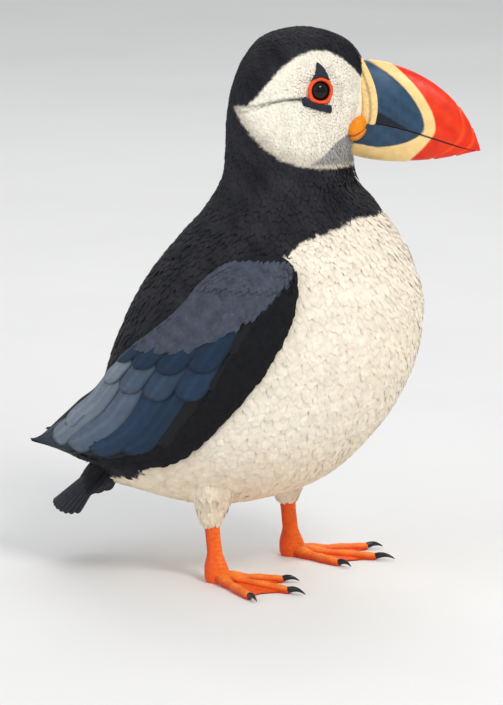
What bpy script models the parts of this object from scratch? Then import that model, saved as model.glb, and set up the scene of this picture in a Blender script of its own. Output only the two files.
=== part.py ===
"""Atlantic puffin standing upright on both feet, life size.

The bird faces +X with its left side at +Y, and +Z is up. Sizes below are millimetres and
the objects are metres. Feathered parts are lofts of flat rings. A ring runs between a
dorsal and a ventral point of the profile, and the head's rings turn to the bird's left.
"""
import math

import bmesh
import bpy
import numpy as np
from mathutils import Matrix, Vector

MM = 0.001
GAP = 0.3
COLLECTION = "atlantic_puffin"

# Body stations from crown to tail root: dorsal x, dorsal z, ventral x, ventral z,
# half width, egg (narrowing of the ventral side) and turn to the left in degrees.
HEAD_TURN = 13.0
TURN_AXIS_X = 8.0
STATIONS = {
    "crown_pole": (17.0, 224.0, 17.0, 224.0, 0.0, 0.10, HEAD_TURN),
    "crown": (1.0, 220.5, 33.0, 219.5, 14.0, 0.12, HEAD_TURN),
    "brow": (-7.5, 211.5, 41.0, 210.0, 19.5, 0.22, HEAD_TURN),
    "eye": (-12.5, 199.0, 43.5, 198.5, 22.0, 0.26, HEAD_TURN),
    "cheek": (-14.5, 186.5, 42.5, 186.5, 23.5, 0.26, HEAD_TURN),
    "jaw": (-15.0, 174.5, 38.0, 175.0, 23.0, 0.18, HEAD_TURN),
    "throat": (-16.5, 163.0, 38.5, 164.0, 24.5, 0.06, 10.0),
    "neck": (-23.0, 151.0, 46.5, 153.0, 31.0, 0.02, 6.0),
    "collar": (-33.0, 139.5, 55.0, 142.0, 38.5, 0.0, 2.0),
    "shoulder": (-43.5, 127.0, 62.0, 129.5, 44.0, 0.0, 0.0),
    "breast": (-52.0, 114.0, 66.5, 111.0, 47.0, 0.0, 0.0),
    "keel": (-58.5, 100.5, 62.5, 87.0, 48.5, 0.0, 0.0),
    "belly": (-63.5, 87.0, 48.5, 61.5, 47.5, 0.0, 0.0),
    "flank": (-67.0, 74.0, 23.5, 38.5, 43.0, 0.0, 0.0),
    "vent": (-70.0, 62.5, -14.0, 27.5, 33.5, 0.0, 0.0),
    "rump": (-72.0, 51.5, -49.5, 31.0, 18.0, 0.0, 0.0),
    "tail_pole": (-66.5, 36.0, -66.5, 36.0, 0.0, 0.0, 0.0),
}
# The folded wings continue the trunk's rings past the rump to their own tips.
WING_STATIONS = {
    "flank": (-69.0, 75.0, 21.0, 36.0, 44.0, 0.0, 0.0),
    "vent": (-75.5, 68.5, -17.0, 24.0, 38.0, 0.0, 0.0),
    "rump": (-83.0, 61.5, -46.5, 27.5, 28.0, 0.0, 0.0),
    "outer": (-91.0, 55.5, -69.5, 40.0, 18.0, 0.0, 0.0),
    "tip": (-98.5, 51.5, -93.5, 49.0, 10.5, 0.0, 0.0),
}
NAMES = list(STATIONS)
HEAD_END = NAMES.index("throat") - 0.35
NECK_END = NAMES.index("collar") + 0.35
TAIL_END = float(NAMES.index("tail_pole"))
NEAR_POLE = 0.22
RING_STEP = 0.5
RING_SIDES = 36

# Wing: first and last station, angle of its middle line from the ventral line, half of
# the angle that it spans, and its thickness over the edge's, each from shoulder to tip
WING_START = NAMES.index("shoulder") - 0.8
WING_TIP = NAMES.index("flank") + 4.0
WING_MIDDLE = (90.0, 97.5, 115.0, 130.0, 136.0, 112.0)
WING_HALF_SPAN = (20.0, 24.0, 32.5, 40.0, 31.0, 8.0)
WING_ROUNDING = 0.10
WING_BULGE = (3.2, 4.4, 3.8, 2.6, 1.6, 0.8)
WING_EDGE = 0.9
WING_ROWS = 17
WING_COLUMNS = 10

# Tail: distance from root, half width, half thickness and droop of the outer feathers
TAIL_ROOT = (-53.0, 50.5)
TAIL_AXIS = math.radians(218.0)
TAIL_SECTIONS = (
    (0.0, 9.0, 7.0, 0.0),
    (12.0, 14.0, 7.5, 2.0),
    (23.0, 18.0, 5.0, 3.5),
    (34.0, 20.0, 2.4, 5.0),
    (41.0, 17.5, 1.3, 5.0),
    (44.5, 11.0, 0.9, 4.0),
)

# Bill, in the head's plane before it turns: Bezier points of culmen and lower edge
BILL_CULMEN = ((40.5, 210.5), (60.0, 210.0), (82.5, 197.5), (88.0, 173.5))
BILL_UNDER = ((37.5, 172.0), (50.0, 168.5), (70.0, 169.0), (86.5, 174.0))
BILL_BULGE = 7.5
BILL_WIDTH = 8.3
BILL_TIP_WIDTH = 1.3
BILL_TAPER = 0.8
MOUTH_HEIGHT = 0.36
MOUTH_DROP = 0.12
BILL_SIDES = 7
BILL_END = 0.985
TIP_OVERHANG = 0.01
UPPER_START = 0.012
RIDGE_START = -0.115
RIDGE_CREST = (0.35, 0.9, 0.9, 0.55)

EYE_CENTRE = (24.0, 200.5)
EYE_RADIUS = 5.4
EYE_OUT = 1.1
EYE_RING_RADIUS = 4.75
EYE_RING_TUBE = 0.75
EYE_DISH_RADIUS = 5.9
EYE_DISH_DEPTH = 1.1
HORN_OUTLINE = ((-2.9, 5.2), (-2.0, 6.9), (-1.3, 11.4), (1.4, 9.2), (3.3, 5.0), (0.3, 6.0))
BAR_OUTLINE = ((-7.8, -3.2), (-6.2, -2.4), (-2.0, -5.9), (4.6, -6.3), (4.4, -9.0), (-6.9, -6.0))
PLATE_PROUD = 0.9
PLATE_DEPTH = 4.0
GAPE_CENTRE = (38.5, 184.0)
GAPE_OFFSET = (-0.4, 0.2, 0.4)
GAPE_RADII = (5.2, 4.9, 2.9)
GAPE_TILT = math.radians(42.0)
GAPE_CREASE = 0.3
CREASE_WIDTH = 0.22

# Legs: ankle and foot joint of each side as x, distance from the middle plane, height
LEGS = {
    "right": {"ankle": (-15.0, 24.5, 25.5), "joint": (-12.5, 26.0, 6.3), "heading": -20.0},
    "left": {"ankle": (4.0, 24.5, 25.5), "joint": (5.5, 26.0, 6.3), "heading": 2.0},
}
THIGH_RISE = np.array([1.5, -3.0, 24.0])
THIGH_SECTIONS = ((0.0, 15.5), (0.35, 12.5), (0.7, 8.3), (0.93, 6.0), (1.0, 5.0))
SHANK_SECTIONS = ((0.0, 3.4, 2.9), (0.3, 3.1, 2.6), (0.7, 3.2, 2.7), (0.92, 4.2, 3.4), (1.0, 4.4, 3.6))
# Toes: length of flesh, splay from the foot's heading (outer positive), claw length
TOES = {
    "outer": (33.0, 31.0, 7.5),
    "middle": (35.5, 0.0, 8.5),
    "inner": (27.0, -31.0, 7.0),
}
TOE_RADIUS = (2.9, 2.5, 1.9, 2.1, 1.6)
HUB_RADII = (5.0, 4.2)
TOE_HEIGHT = 1.25
TOE_ARCH = 1.5
WEB_THICKNESS = 1.1
WEB_REACH = 0.93
WEB_SCALLOP = 0.13
CLAW_RADIUS = 1.45
CLAW_RISE = 0.55
CLAW_ARCH = 1.3
CLAW_DROP = 1.4
CLAW_TAPER = 0.86
SOLE_SINK = 1.2

COLOURS = {
    "black_plumage": ((0.022, 0.024, 0.034), 0.65),
    "white_plumage": ((0.86, 0.80, 0.68), 0.75),
    "slate_wing": ((0.07, 0.10, 0.15), 0.6),
    "bill_red": ((0.90, 0.06, 0.015), 0.35),
    "bill_cream": ((0.90, 0.66, 0.30), 0.4),
    "gape_orange": ((0.95, 0.38, 0.02), 0.45),
    "eye_black": ((0.01, 0.01, 0.012), 0.08),
    "eye_ring_red": ((0.80, 0.09, 0.02), 0.45),
    "eye_plate_slate": ((0.03, 0.04, 0.06), 0.5),
    "leg_orange": ((0.95, 0.20, 0.01), 0.45),
    "claw_black": ((0.015, 0.015, 0.02), 0.3),
}


def spline(rows, place):
    """Smooth curve through a table's rows, with a guide row before and after the ends."""
    rows = np.asarray(rows, float)
    place = np.asarray(place, float)
    first = np.clip(np.floor(place).astype(int), 0, len(rows) - 4)
    t = (place - first)[..., None]
    p0, p1, p2, p3 = (rows[first + step] for step in range(4))
    slope = (p2 - p0) * t
    bend = (2 * p0 - 5 * p1 + 4 * p2 - p3) * t ** 2
    twist = (3 * p1 - p0 - 3 * p2 + p3) * t ** 3
    return 0.5 * (2 * p1 + slope + bend + twist)


def graded(values, share):
    """Smooth value at a share (0 to 1) of the way along an even row of values."""
    ends = [2 * values[0] - values[1], *values, 2 * values[-1] - values[-2]]
    return spline(np.array(ends)[:, None], np.asarray(share) * (len(values) - 1))[..., 0]


def over_the_pole(row):
    """The station beyond a pole: its dorsal and ventral points change places."""
    return (row[2], row[3], row[0], row[1], -row[4], row[5], row[6])


def body_table():
    """Stations with the guide rows that round off the crown and the tail root."""
    rows = list(STATIONS.values())
    return np.array([over_the_pole(rows[1]), *rows, over_the_pole(rows[-2])])


def wing_table():
    """The trunk's stations up to the belly, then the wings' own stations."""
    rows = list(STATIONS.values())[: NAMES.index("flank")] + list(WING_STATIONS.values())
    last = 2 * np.array(rows[-1]) - np.array(rows[-2])
    return np.array([over_the_pole(rows[1]), *rows, last])


def ring_points(table, place, angle):
    """Points at an angle from the ventral line on the ring at a place along the stations."""
    row = spline(table, place)
    dorsal_x, dorsal_z, ventral_x, ventral_z, width, egg, turn = np.moveaxis(row, -1, 0)
    cosine = np.cos(angle)
    x = (dorsal_x + ventral_x) / 2 + (ventral_x - dorsal_x) / 2 * cosine
    z = (dorsal_z + ventral_z) / 2 + (ventral_z - dorsal_z) / 2 * cosine
    y = width * np.sin(angle) * (1 - egg * cosine)
    turn = np.radians(turn)
    ahead = x - TURN_AXIS_X
    turned_x = TURN_AXIS_X + ahead * np.cos(turn) - y * np.sin(turn)
    turned_y = ahead * np.sin(turn) + y * np.cos(turn)
    return np.stack([turned_x, turned_y, z], axis=-1)


def grown_points(table, place, angle, grow):
    """Ring points moved outwards along the surface's normal."""
    step = 1e-3
    place, angle = np.broadcast_arrays(np.asarray(place, float), np.asarray(angle, float))
    down = ring_points(table, place + step, angle) - ring_points(table, place - step, angle)
    round_ = ring_points(table, place, angle + step) - ring_points(table, place, angle - step)
    normal = np.cross(down, round_)
    normal /= np.linalg.norm(normal, axis=-1, keepdims=True)
    return ring_points(table, place, angle) + normal * np.asarray(grow)[..., None]


def body_rings(start, end, grow=0.0):
    """Closed rings of the body loft between two places."""
    count = max(2, round((end - start) / RING_STEP) + 1)
    places = np.linspace(start, end, count)
    angles = np.arange(RING_SIDES) * 2 * math.pi / RING_SIDES
    return grown_points(body_table(), places[:, None], angles[None, :], np.array(grow))


def turned_with_head(points):
    """Carry points of the head's own plane round with the head."""
    points = np.asarray(points, float)
    turn = math.radians(HEAD_TURN)
    ahead = points[..., 0] - TURN_AXIS_X
    x = TURN_AXIS_X + ahead * math.cos(turn) - points[..., 1] * math.sin(turn)
    y = ahead * math.sin(turn) + points[..., 1] * math.cos(turn)
    return np.stack([x, y, points[..., 2]], axis=-1)


def collection(name):
    """The named collection, made on first use."""
    if name not in bpy.data.collections:
        bpy.context.scene.collection.children.link(bpy.data.collections.new(name))
    return bpy.data.collections[name]


def material(name):
    """A Principled material of a named colour and roughness."""
    if name in bpy.data.materials:
        return bpy.data.materials[name]
    colour, roughness = COLOURS[name]
    made = bpy.data.materials.new(name)
    made.use_nodes = True
    made.diffuse_color = (*colour, 1.0)
    shader = made.node_tree.nodes["Principled BSDF"]
    shader.inputs["Base Color"].default_value = (*colour, 1.0)
    shader.inputs["Roughness"].default_value = roughness
    return made


def finish(name, mesh_data, finish_name, smooth=True):
    """Make a mesh an object: a named part with its material, or a cutter without one."""
    part = bpy.data.objects.new(name, mesh_data)
    mesh_data.name = name
    if finish_name:
        collection(COLLECTION).objects.link(part)
        mesh_data.materials.clear()
        mesh_data.materials.append(material(finish_name))
    else:
        collection("cutters").objects.link(part)
        part.hide_render = True
        part.display_type = "WIRE"
    if smooth:
        mesh_data.shade_smooth()
        mesh_data.set_sharp_from_angle(angle=math.radians(50))
    return part


def facing_out(build):
    """Turn a closed bmesh's faces outwards and give its mesh in metres."""
    bmesh.ops.recalc_face_normals(build, faces=build.faces)
    made = bpy.data.meshes.new("mesh")
    bmesh.ops.scale(build, vec=(MM, MM, MM), verts=build.verts)
    build.to_mesh(made)
    build.free()
    return made


def loft(name, rings, finish_name, first=None, last=None):
    """Closed solid over a row of closed rings, with a fan to a point over either end."""
    build = bmesh.new()
    verts = [[build.verts.new(point) for point in ring] for ring in rings]
    for lower, upper in zip(verts, verts[1:]):
        for side in range(len(lower)):
            near = (side + 1) % len(lower)
            build.faces.new((lower[side], lower[near], upper[near], upper[side]))
    for ring, points, apex in ((verts[0], rings[0], first), (verts[-1], rings[-1], last)):
        middle = np.mean(points, axis=0) if apex is None else apex
        top = build.verts.new(middle)
        for side in range(len(ring)):
            build.faces.new((ring[side], ring[(side + 1) % len(ring)], top))
    return finish(name, facing_out(build), finish_name)


def shell(name, outer, inner, finish_name):
    """Closed solid between two matching grids of points."""
    build = bmesh.new()
    sheets = [[[build.verts.new(p) for p in row] for row in grid] for grid in (outer, inner)]
    rows, columns = len(outer), len(outer[0])
    for sheet in sheets:
        for r in range(rows - 1):
            for c in range(columns - 1):
                build.faces.new((sheet[r][c], sheet[r + 1][c], sheet[r + 1][c + 1], sheet[r][c + 1]))
    edge = [(r, 0) for r in range(rows)] + [(rows - 1, c) for c in range(1, columns)]
    edge += [(r, columns - 1) for r in range(rows - 2, -1, -1)] + [(0, c) for c in range(columns - 2, 0, -1)]
    for (r, c), (s, d) in zip(edge, edge[1:] + edge[:1]):
        build.faces.new((sheets[0][r][c], sheets[0][s][d], sheets[1][s][d], sheets[1][r][c]))
    return finish(name, facing_out(build), finish_name)


def tube_rings(points, radii, sides, flatten=1.0):
    """Rings of a round tube along a path, its upright radius scaled by flatten."""
    points = np.asarray(points, float)
    ahead = np.gradient(points, axis=0)
    ahead /= np.linalg.norm(ahead, axis=1, keepdims=True)
    aside = np.cross(ahead, (0.0, 0.0, 1.0))
    aside /= np.linalg.norm(aside, axis=1, keepdims=True)
    upward = np.cross(aside, ahead) * flatten
    turn = np.arange(sides) * 2 * math.pi / sides
    rings = np.cos(turn)[None, :, None] * aside[:, None] + np.sin(turn)[None, :, None] * upward[:, None]
    return points[:, None] + rings * np.asarray(radii, float)[:, None, None]


def join(part, other, operation):
    """Boolean of one object by another."""
    step = part.modifiers.new(f"{operation.lower()}_{other.name}", "BOOLEAN")
    step.operation = operation
    step.object = other


def make_body():
    """Head, neck and trunk, parted by thin gaps, and their grown copies used as cutters."""
    table = body_table()
    crown = ring_points(table, np.array(0.0), np.array(0.0))
    root = ring_points(table, np.array(TAIL_END), np.array(0.0))
    slit = GAP / 10
    head = loft("head", body_rings(NEAR_POLE, HEAD_END), "black_plumage", first=crown)
    loft("neck", body_rings(HEAD_END + slit, NECK_END), "black_plumage")
    loft("trunk", body_rings(NECK_END + slit, TAIL_END - NEAR_POLE), "black_plumage", last=root)
    over_crown = crown + (0, 0, GAP)
    behind_root = root + (-GAP, 0, -GAP)
    head_cutter = loft("head_cutter", body_rings(NEAR_POLE, NECK_END, GAP), None, first=over_crown)
    trunk_rings = body_rings(HEAD_END, TAIL_END - NEAR_POLE, GAP)
    trunk_cutter = loft("trunk_cutter", trunk_rings, None, last=behind_root)
    return head, head_cutter, trunk_cutter


def wing_grid(side, inner):
    """Grid of a folded wing's outer or inner face, from shoulder to tip and edge to edge."""
    along = 1 - np.cos(np.linspace(0.06, 1.0, WING_ROWS) * math.pi / 2)[:, None]
    along = 0.5 * along + 0.5 * np.linspace(0.004, 1.0, WING_ROWS)[:, None]
    across = np.linspace(-1.0, 1.0, WING_COLUMNS)[None, :]
    rounding = np.sqrt(1 - np.clip(1 - along / WING_ROUNDING, 0, 1) ** 2)
    angle = np.radians(graded(WING_MIDDLE, along) + graded(WING_HALF_SPAN, along) * rounding * across)
    place = WING_START + (WING_TIP - WING_START) * along + np.zeros_like(across)
    lens = np.sqrt(1 - across ** 2) * np.sqrt(np.clip(along / WING_ROUNDING, 0, 1))
    thickness = WING_EDGE + graded(WING_BULGE, along) * lens
    grow = 2 * GAP + (0.0 if inner else 1.0) * thickness
    return grown_points(wing_table(), place, side * angle, grow)


def make_wings():
    """Folded wings lying over the flanks, with free tips above the tail."""
    for name, side in (("left", 1), ("right", -1)):
        outer, inner = wing_grid(side, False), wing_grid(side, True)
        shell(f"wing_{name}", outer.tolist(), inner.tolist(), "slate_wing")


def make_tail(trunk_cutter):
    """Short fanned tail, its outer feathers drooping a little, cut by the trunk."""
    ahead = np.array([math.cos(TAIL_AXIS), 0.0, math.sin(TAIL_AXIS)])
    upward = np.array([-ahead[2], 0.0, ahead[0]]) * -1
    turn = np.arange(20) * 2 * math.pi / 20
    rings = []
    for distance, width, thick, droop in TAIL_SECTIONS:
        centre = np.array([TAIL_ROOT[0], 0.0, TAIL_ROOT[1]]) + ahead * distance
        lift = thick * np.sin(turn) - droop * np.cos(turn) ** 2
        y = width * np.cos(turn)
        rings.append(centre + y[:, None] * (0.0, 1.0, 0.0) + lift[:, None] * upward)
    join(loft("tail", rings, "black_plumage"), trunk_cutter, "DIFFERENCE")


def bezier(points, share):
    """Cubic Bezier curve in the plane, and its straight run before the first point."""
    p0, p1, p2, p3 = (np.array(point) for point in points)
    t = np.maximum(share, 0.0)[..., None]
    curve = p0 * (1 - t) ** 3 + 3 * p1 * t * (1 - t) ** 2 + 3 * p2 * t ** 2 * (1 - t) + p3 * t ** 3
    return curve + 3 * (p1 - p0) * np.minimum(share, 0.0)[..., None]


def bill_points(along, height, side):
    """Points of the bill's side: along 0 base to 1 tip, height -1 lower edge to 1 culmen."""
    along, height, side = np.broadcast_arrays(along, height, side)
    top, bottom = bezier(BILL_CULMEN, along), bezier(BILL_UNDER, along)
    share = ((height + 1) / 2)[..., None]
    flat = bottom + (top - bottom) * share
    bulge = BILL_BULGE * (1 - height ** 2) * (1 - np.clip(along, 0, 1))
    mouth = 2 * mouth_share(along) - 1
    rise = np.where(height > mouth, (height - mouth) / (1 - mouth), (mouth - height) / (1 + mouth))
    full = BILL_TIP_WIDTH + (BILL_WIDTH - BILL_TIP_WIDTH) * (1 - np.clip(along, 0, 1)) ** BILL_TAPER
    width = full * np.sqrt(1 - np.clip(rise, 0, 1) ** 2)
    return np.stack([flat[..., 0] + bulge, side * width, flat[..., 1]], axis=-1)


def mouth_share(along):
    """Height of the mouth line as a share of the bill's depth."""
    return MOUTH_HEIGHT - MOUTH_DROP * np.clip(along, 0, 1) ** 2


def bill_ring(along, half, grow=0.0):
    """One closed section of the bill: its upper half, its lower half or both."""
    depth = np.linalg.norm(bezier(BILL_CULMEN, np.array(along)) - bezier(BILL_UNDER, np.array(along)))
    mouth = 2 * float(mouth_share(np.array(along))) - 1
    slit = 2 * (grow + GAP / 2) / depth
    arc = np.sin(np.linspace(0, math.pi / 2, BILL_SIDES))
    rising = mouth + slit + (1 - mouth - slit) * arc
    falling = mouth - slit - (1 + mouth - slit) * arc
    heights = {"upper": rising, "lower": falling, "both": np.concatenate([falling[::-1], rising])}[half]
    right = bill_points(along, heights, -1.0)
    left = bill_points(along, heights[::-1], 1.0)
    ring = np.concatenate([right, left[1:-1] if half == "both" else left[1:]])
    outward = ring - ring.mean(axis=0)
    outward[:, 0] = 0.0
    outward /= np.linalg.norm(outward, axis=1, keepdims=True)
    return turned_with_head(ring + outward * grow)


def make_bill(head_cutter):
    """Upper and lower bill, and the raised ridge round the base of the upper one."""
    steps = np.sin(np.linspace(0, 1, 10) * math.pi / 2)
    upper_rings = [bill_ring(UPPER_START + (BILL_END - UPPER_START) * s, "upper") for s in steps]
    lower_end = BILL_END - TIP_OVERHANG
    lower_rings = [bill_ring(RIDGE_START + (lower_end - RIDGE_START) * s, "lower") for s in steps]
    ridge_places = np.linspace(RIDGE_START, 0.0, len(RIDGE_CREST))
    ridge_rings = [bill_ring(s, "upper", grow) for s, grow in zip(ridge_places, RIDGE_CREST)]
    loft("bill_upper", upper_rings, "bill_red")
    loft("bill_lower", lower_rings, "bill_red")
    loft("bill_ridge", ridge_rings, "bill_cream")
    for name in ("bill_upper", "bill_lower", "bill_ridge"):
        join(bpy.data.objects[name], head_cutter, "DIFFERENCE")
    reach = np.linspace(RIDGE_START, 0.3, 5)
    return loft("bill_cutter", [bill_ring(s, "both", max(RIDGE_CREST) + GAP) for s in reach], None)


def head_frame(side, centre):
    """Point and outward axes of the head's surface abreast of a place in its own plane."""
    x, z = centre
    places = np.linspace(NAMES.index("crown"), NAMES.index("jaw"), 500)
    dorsal_x, dorsal_z, ventral_x, ventral_z = spline(body_table(), places).T[:4]
    cosine = (2 * x - dorsal_x - ventral_x) / (ventral_x - dorsal_x)
    height = (dorsal_z + ventral_z + (ventral_z - dorsal_z) * cosine) / 2
    nearest = np.argmin(np.abs(height - z))
    place, angle = places[nearest], side * math.acos(cosine[nearest])
    surface = grown_points(body_table(), place, angle, np.array(0.0))
    outward = Vector(grown_points(body_table(), place, angle, np.array(1.0)) - surface)
    ahead = Vector(turned_with_head((1.0, 0.0, 0.0)) - turned_with_head((0.0, 0.0, 0.0)))
    ahead = (ahead - outward * ahead.dot(outward)).normalized()
    upward = outward.cross(ahead) * -side
    frame = Matrix.Identity(4)
    for column, axis in enumerate((ahead, upward, outward)):
        frame.col[column] = (*axis, 0.0)
    frame.col[3] = (*surface, 1.0)
    return frame


def ball(name, centre, radii, finish_name, segments, frame=None, crease=0.0):
    """Ellipsoid from a sphere, creased along its local x axis and placed in a frame."""
    build = bmesh.new()
    bmesh.ops.create_uvsphere(build, u_segments=segments, v_segments=segments // 2, radius=1.0)
    for vert in build.verts:
        vert.co.z *= 1 - crease * math.exp(-((vert.co.y / CREASE_WIDTH) ** 2))
    shape = Matrix.Translation(Vector(centre)) @ Matrix.Diagonal((*radii, 1.0))
    bmesh.ops.transform(build, matrix=(frame or Matrix.Identity(4)) @ shape, verts=build.verts)
    return finish(name, facing_out(build), finish_name)


def eye_socket(name, frame):
    """Cutter for an eye: a round pocket that opens into a shallow dish for the eye ring."""
    pocket = EYE_RADIUS + GAP
    depth = EYE_OUT - EYE_RADIUS
    turn = np.arange(20) * 2 * math.pi / 20
    round_ = np.stack([np.cos(turn), np.sin(turn), np.zeros_like(turn)], axis=-1)
    rims = [(pocket * math.sin(a), depth - pocket * math.cos(a)) for a in np.linspace(0.3, 2.15, 8)]
    rims += [(EYE_DISH_RADIUS, -EYE_DISH_DEPTH), (EYE_DISH_RADIUS + 0.5, EYE_RADIUS)]
    rings = [[frame @ Vector(p * radius + (0, 0, height)) for p in round_] for radius, height in rims]
    return loft(name, rings, None)


def eye_ring(name, frame):
    """Swollen ring of bare skin round the eye."""
    bpy.ops.mesh.primitive_torus_add(
        major_radius=EYE_RING_RADIUS, minor_radius=EYE_RING_TUBE, major_segments=20, minor_segments=6
    )
    made = bpy.context.object
    build = bmesh.new()
    build.from_mesh(made.data)
    bpy.data.objects.remove(made, do_unlink=True)
    bmesh.ops.transform(build, matrix=frame, verts=build.verts)
    return finish(name, facing_out(build), "eye_ring_red")


def plate(name, frame, outline, head_cutter):
    """Small horny plate: a flat outline given depth, cut to lie on the head."""
    build = bmesh.new()
    base = build.faces.new([build.verts.new((x, y, -PLATE_DEPTH)) for x, y in outline])
    raised = bmesh.ops.extrude_face_region(build, geom=[base])["geom"]
    top = [item for item in raised if isinstance(item, bmesh.types.BMVert)]
    bmesh.ops.translate(build, vec=(0, 0, PLATE_DEPTH + PLATE_PROUD), verts=top)
    bmesh.ops.transform(build, matrix=frame, verts=build.verts)
    join(finish(name, facing_out(build), "eye_plate_slate", smooth=False), head_cutter, "DIFFERENCE")


def make_face(head, head_cutter, bill_cutter):
    """Eyes in their sockets, eye rings, plates above and below the eyes, and gape rosettes."""
    for name, side in (("left", 1), ("right", -1)):
        frame = head_frame(side, EYE_CENTRE)
        depth = EYE_OUT - EYE_RADIUS
        ball(f"eye_{name}", (0, 0, depth), [EYE_RADIUS] * 3, "eye_black", 16, frame)
        socket = eye_socket(f"socket_{name}", frame)
        eye_ring(f"eye_ring_{name}", frame)
        join(head, socket, "DIFFERENCE")
        plate(f"eye_horn_{name}", frame, HORN_OUTLINE, head_cutter)
        plate(f"eye_bar_{name}", frame, BAR_OUTLINE, head_cutter)
        make_gape(name, side, head_cutter, bill_cutter)


def make_gape(name, side, head_cutter, bill_cutter):
    """Fleshy two-lobed rosette at the corner of the mouth."""
    frame = head_frame(side, GAPE_CENTRE)
    tilt = frame @ Matrix.Rotation(GAPE_TILT, 4, "Z")
    rosette = ball(f"gape_{name}", GAPE_OFFSET, GAPE_RADII, "gape_orange", 18, tilt, GAPE_CREASE)
    join(rosette, head_cutter, "DIFFERENCE")
    join(rosette, bill_cutter, "DIFFERENCE")


def make_leg(name, side, trunk_cutter):
    """Feathered thigh, bare shank, webbed foot and three claws of one side."""
    leg = LEGS[name]
    ankle = np.array(leg["ankle"]) * (1, side, 1)
    joint = np.array(leg["joint"]) * (1, side, 1)
    top = ankle + THIGH_RISE * (1, side, 1)
    turn = np.arange(16) * 2 * math.pi / 16
    round_ = np.stack([np.cos(turn), np.sin(turn), np.zeros_like(turn)], axis=-1)
    cone = [top + (ankle - top) * share + round_ * radius for share, radius in THIGH_SECTIONS]
    join(loft(f"thigh_{name}", cone, "white_plumage"), trunk_cutter, "DIFFERENCE")
    below = ankle - (0, 0, GAP)
    heading = math.radians(leg["heading"])
    ahead = np.array([math.cos(heading), math.sin(heading), 0.0])
    aside = np.array([-ahead[1], ahead[0], 0.0])
    rings = []
    for share, length, width in SHANK_SECTIONS:
        section = np.cos(turn)[:, None] * ahead * length + np.sin(turn)[:, None] * aside * width
        rings.append(below + (joint - below) * share + section)
    loft(f"shank_{name}", rings, "leg_orange")
    make_foot(name, side, joint, heading)


def toe_path(joint, heading, side, length, splay):
    """Points of a toe's middle line, from the joint down to the ground and out."""
    angle = heading + side * math.radians(splay)
    ahead = np.array([math.cos(angle), math.sin(angle), 0.0])
    shares = np.linspace(0.0, 1.0, len(TOE_RADIUS))[:, None]
    heights = TOE_HEIGHT + TOE_ARCH * (1 - shares) ** 2
    return np.array([joint[0], joint[1], 0.0]) + ahead * length * shares + heights * (0, 0, 1)


def web_outline(paths):
    """Outline of both webs: along the outer toes and in scallops between the toe tips."""
    heel = paths[0][0]
    ends = [heel + (path[-1] - heel) * WEB_REACH for path in paths]
    points = [heel]
    for start, end in zip(ends, ends[1:]):
        for share in np.linspace(0.0, 1.0, 7):
            dip = 1 - WEB_SCALLOP * math.sin(math.pi * share)
            points.append(heel + (start + (end - start) * share - heel) * dip)
    return [(p[0], p[1]) for p in points]


def make_foot(name, side, joint, heading):
    """Webbed foot with a flat sole at ground level, and its claws."""
    paths = [toe_path(joint, heading, side, length, splay) for length, splay, _ in TOES.values()]
    hub_rise = joint[2] - GAP
    hub = ball(f"foot_{name}", (joint[0], joint[1], 0.0), (*HUB_RADII, hub_rise), "leg_orange", 16)
    build = bmesh.new()
    base = build.faces.new([build.verts.new((x, y, -SOLE_SINK)) for x, y in web_outline(paths)])
    raised = bmesh.ops.extrude_face_region(build, geom=[base])["geom"]
    top = [item for item in raised if isinstance(item, bmesh.types.BMVert)]
    bmesh.ops.translate(build, vec=(0, 0, SOLE_SINK + WEB_THICKNESS), verts=top)
    join(hub, finish(f"web_{name}", facing_out(build), None, smooth=False), "UNION")
    for toe, path, (_, _, claw) in zip(TOES, paths, TOES.values()):
        rings = tube_rings(path, TOE_RADIUS, 10, 0.95)
        join(hub, loft(f"toe_{toe}_{name}", rings, None), "UNION")
        make_claw(f"claw_{toe}_{name}", path, claw)
    ground = bmesh.new()
    bmesh.ops.create_cube(ground, size=1.0)
    below = Matrix.Translation((0, 0, -5.0)) @ Matrix.Diagonal((300.0, 300.0, 10.0, 1.0))
    bmesh.ops.transform(ground, matrix=below, verts=ground.verts)
    join(hub, finish(f"ground_{name}", facing_out(ground), None, smooth=False), "DIFFERENCE")


def make_claw(name, path, length):
    """Curved tapering claw beyond the end of a toe, its tip just clear of the ground."""
    ahead = path[-1] - path[-2]
    ahead[2] = 0.0
    ahead /= np.linalg.norm(ahead)
    shares = np.linspace(0.0, 1.0, 6)
    start = path[-1] + ahead * (GAP + 0.05) + (0, 0, CLAW_RISE)
    arch = CLAW_ARCH * np.sin(shares * math.pi * 0.75) - CLAW_DROP * shares ** 2
    points = start + ahead * length * shares[:, None] + arch[:, None] * (0, 0, 1)
    loft(name, tube_rings(points, CLAW_RADIUS * (1 - CLAW_TAPER * shares ** 1.4), 8), "claw_black")


def stand_on_origin():
    """Move everything so that the box's bottom centre is the origin."""
    bpy.context.view_layer.update()
    graph = bpy.context.evaluated_depsgraph_get()
    corners = []
    for part in collection(COLLECTION).objects:
        shown = part.evaluated_get(graph)
        corners += [part.matrix_world @ Vector(corner) for corner in shown.bound_box]
    low = Vector([min(c[axis] for c in corners) for axis in range(3)])
    high = Vector([max(c[axis] for c in corners) for axis in range(3)])
    shift = Vector((-(low.x + high.x) / 2, -(low.y + high.y) / 2, -low.z))
    for thing in bpy.data.objects:
        thing.location = shift


def main():
    """Build the bird."""
    for thing in list(bpy.data.objects):
        bpy.data.objects.remove(thing, do_unlink=True)
    head, head_cutter, trunk_cutter = make_body()
    make_wings()
    make_tail(trunk_cutter)
    bill_cutter = make_bill(head_cutter)
    make_face(head, head_cutter, bill_cutter)
    for name, side in (("left", 1), ("right", -1)):
        make_leg(name, side, trunk_cutter)
    stand_on_origin()


main()
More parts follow.
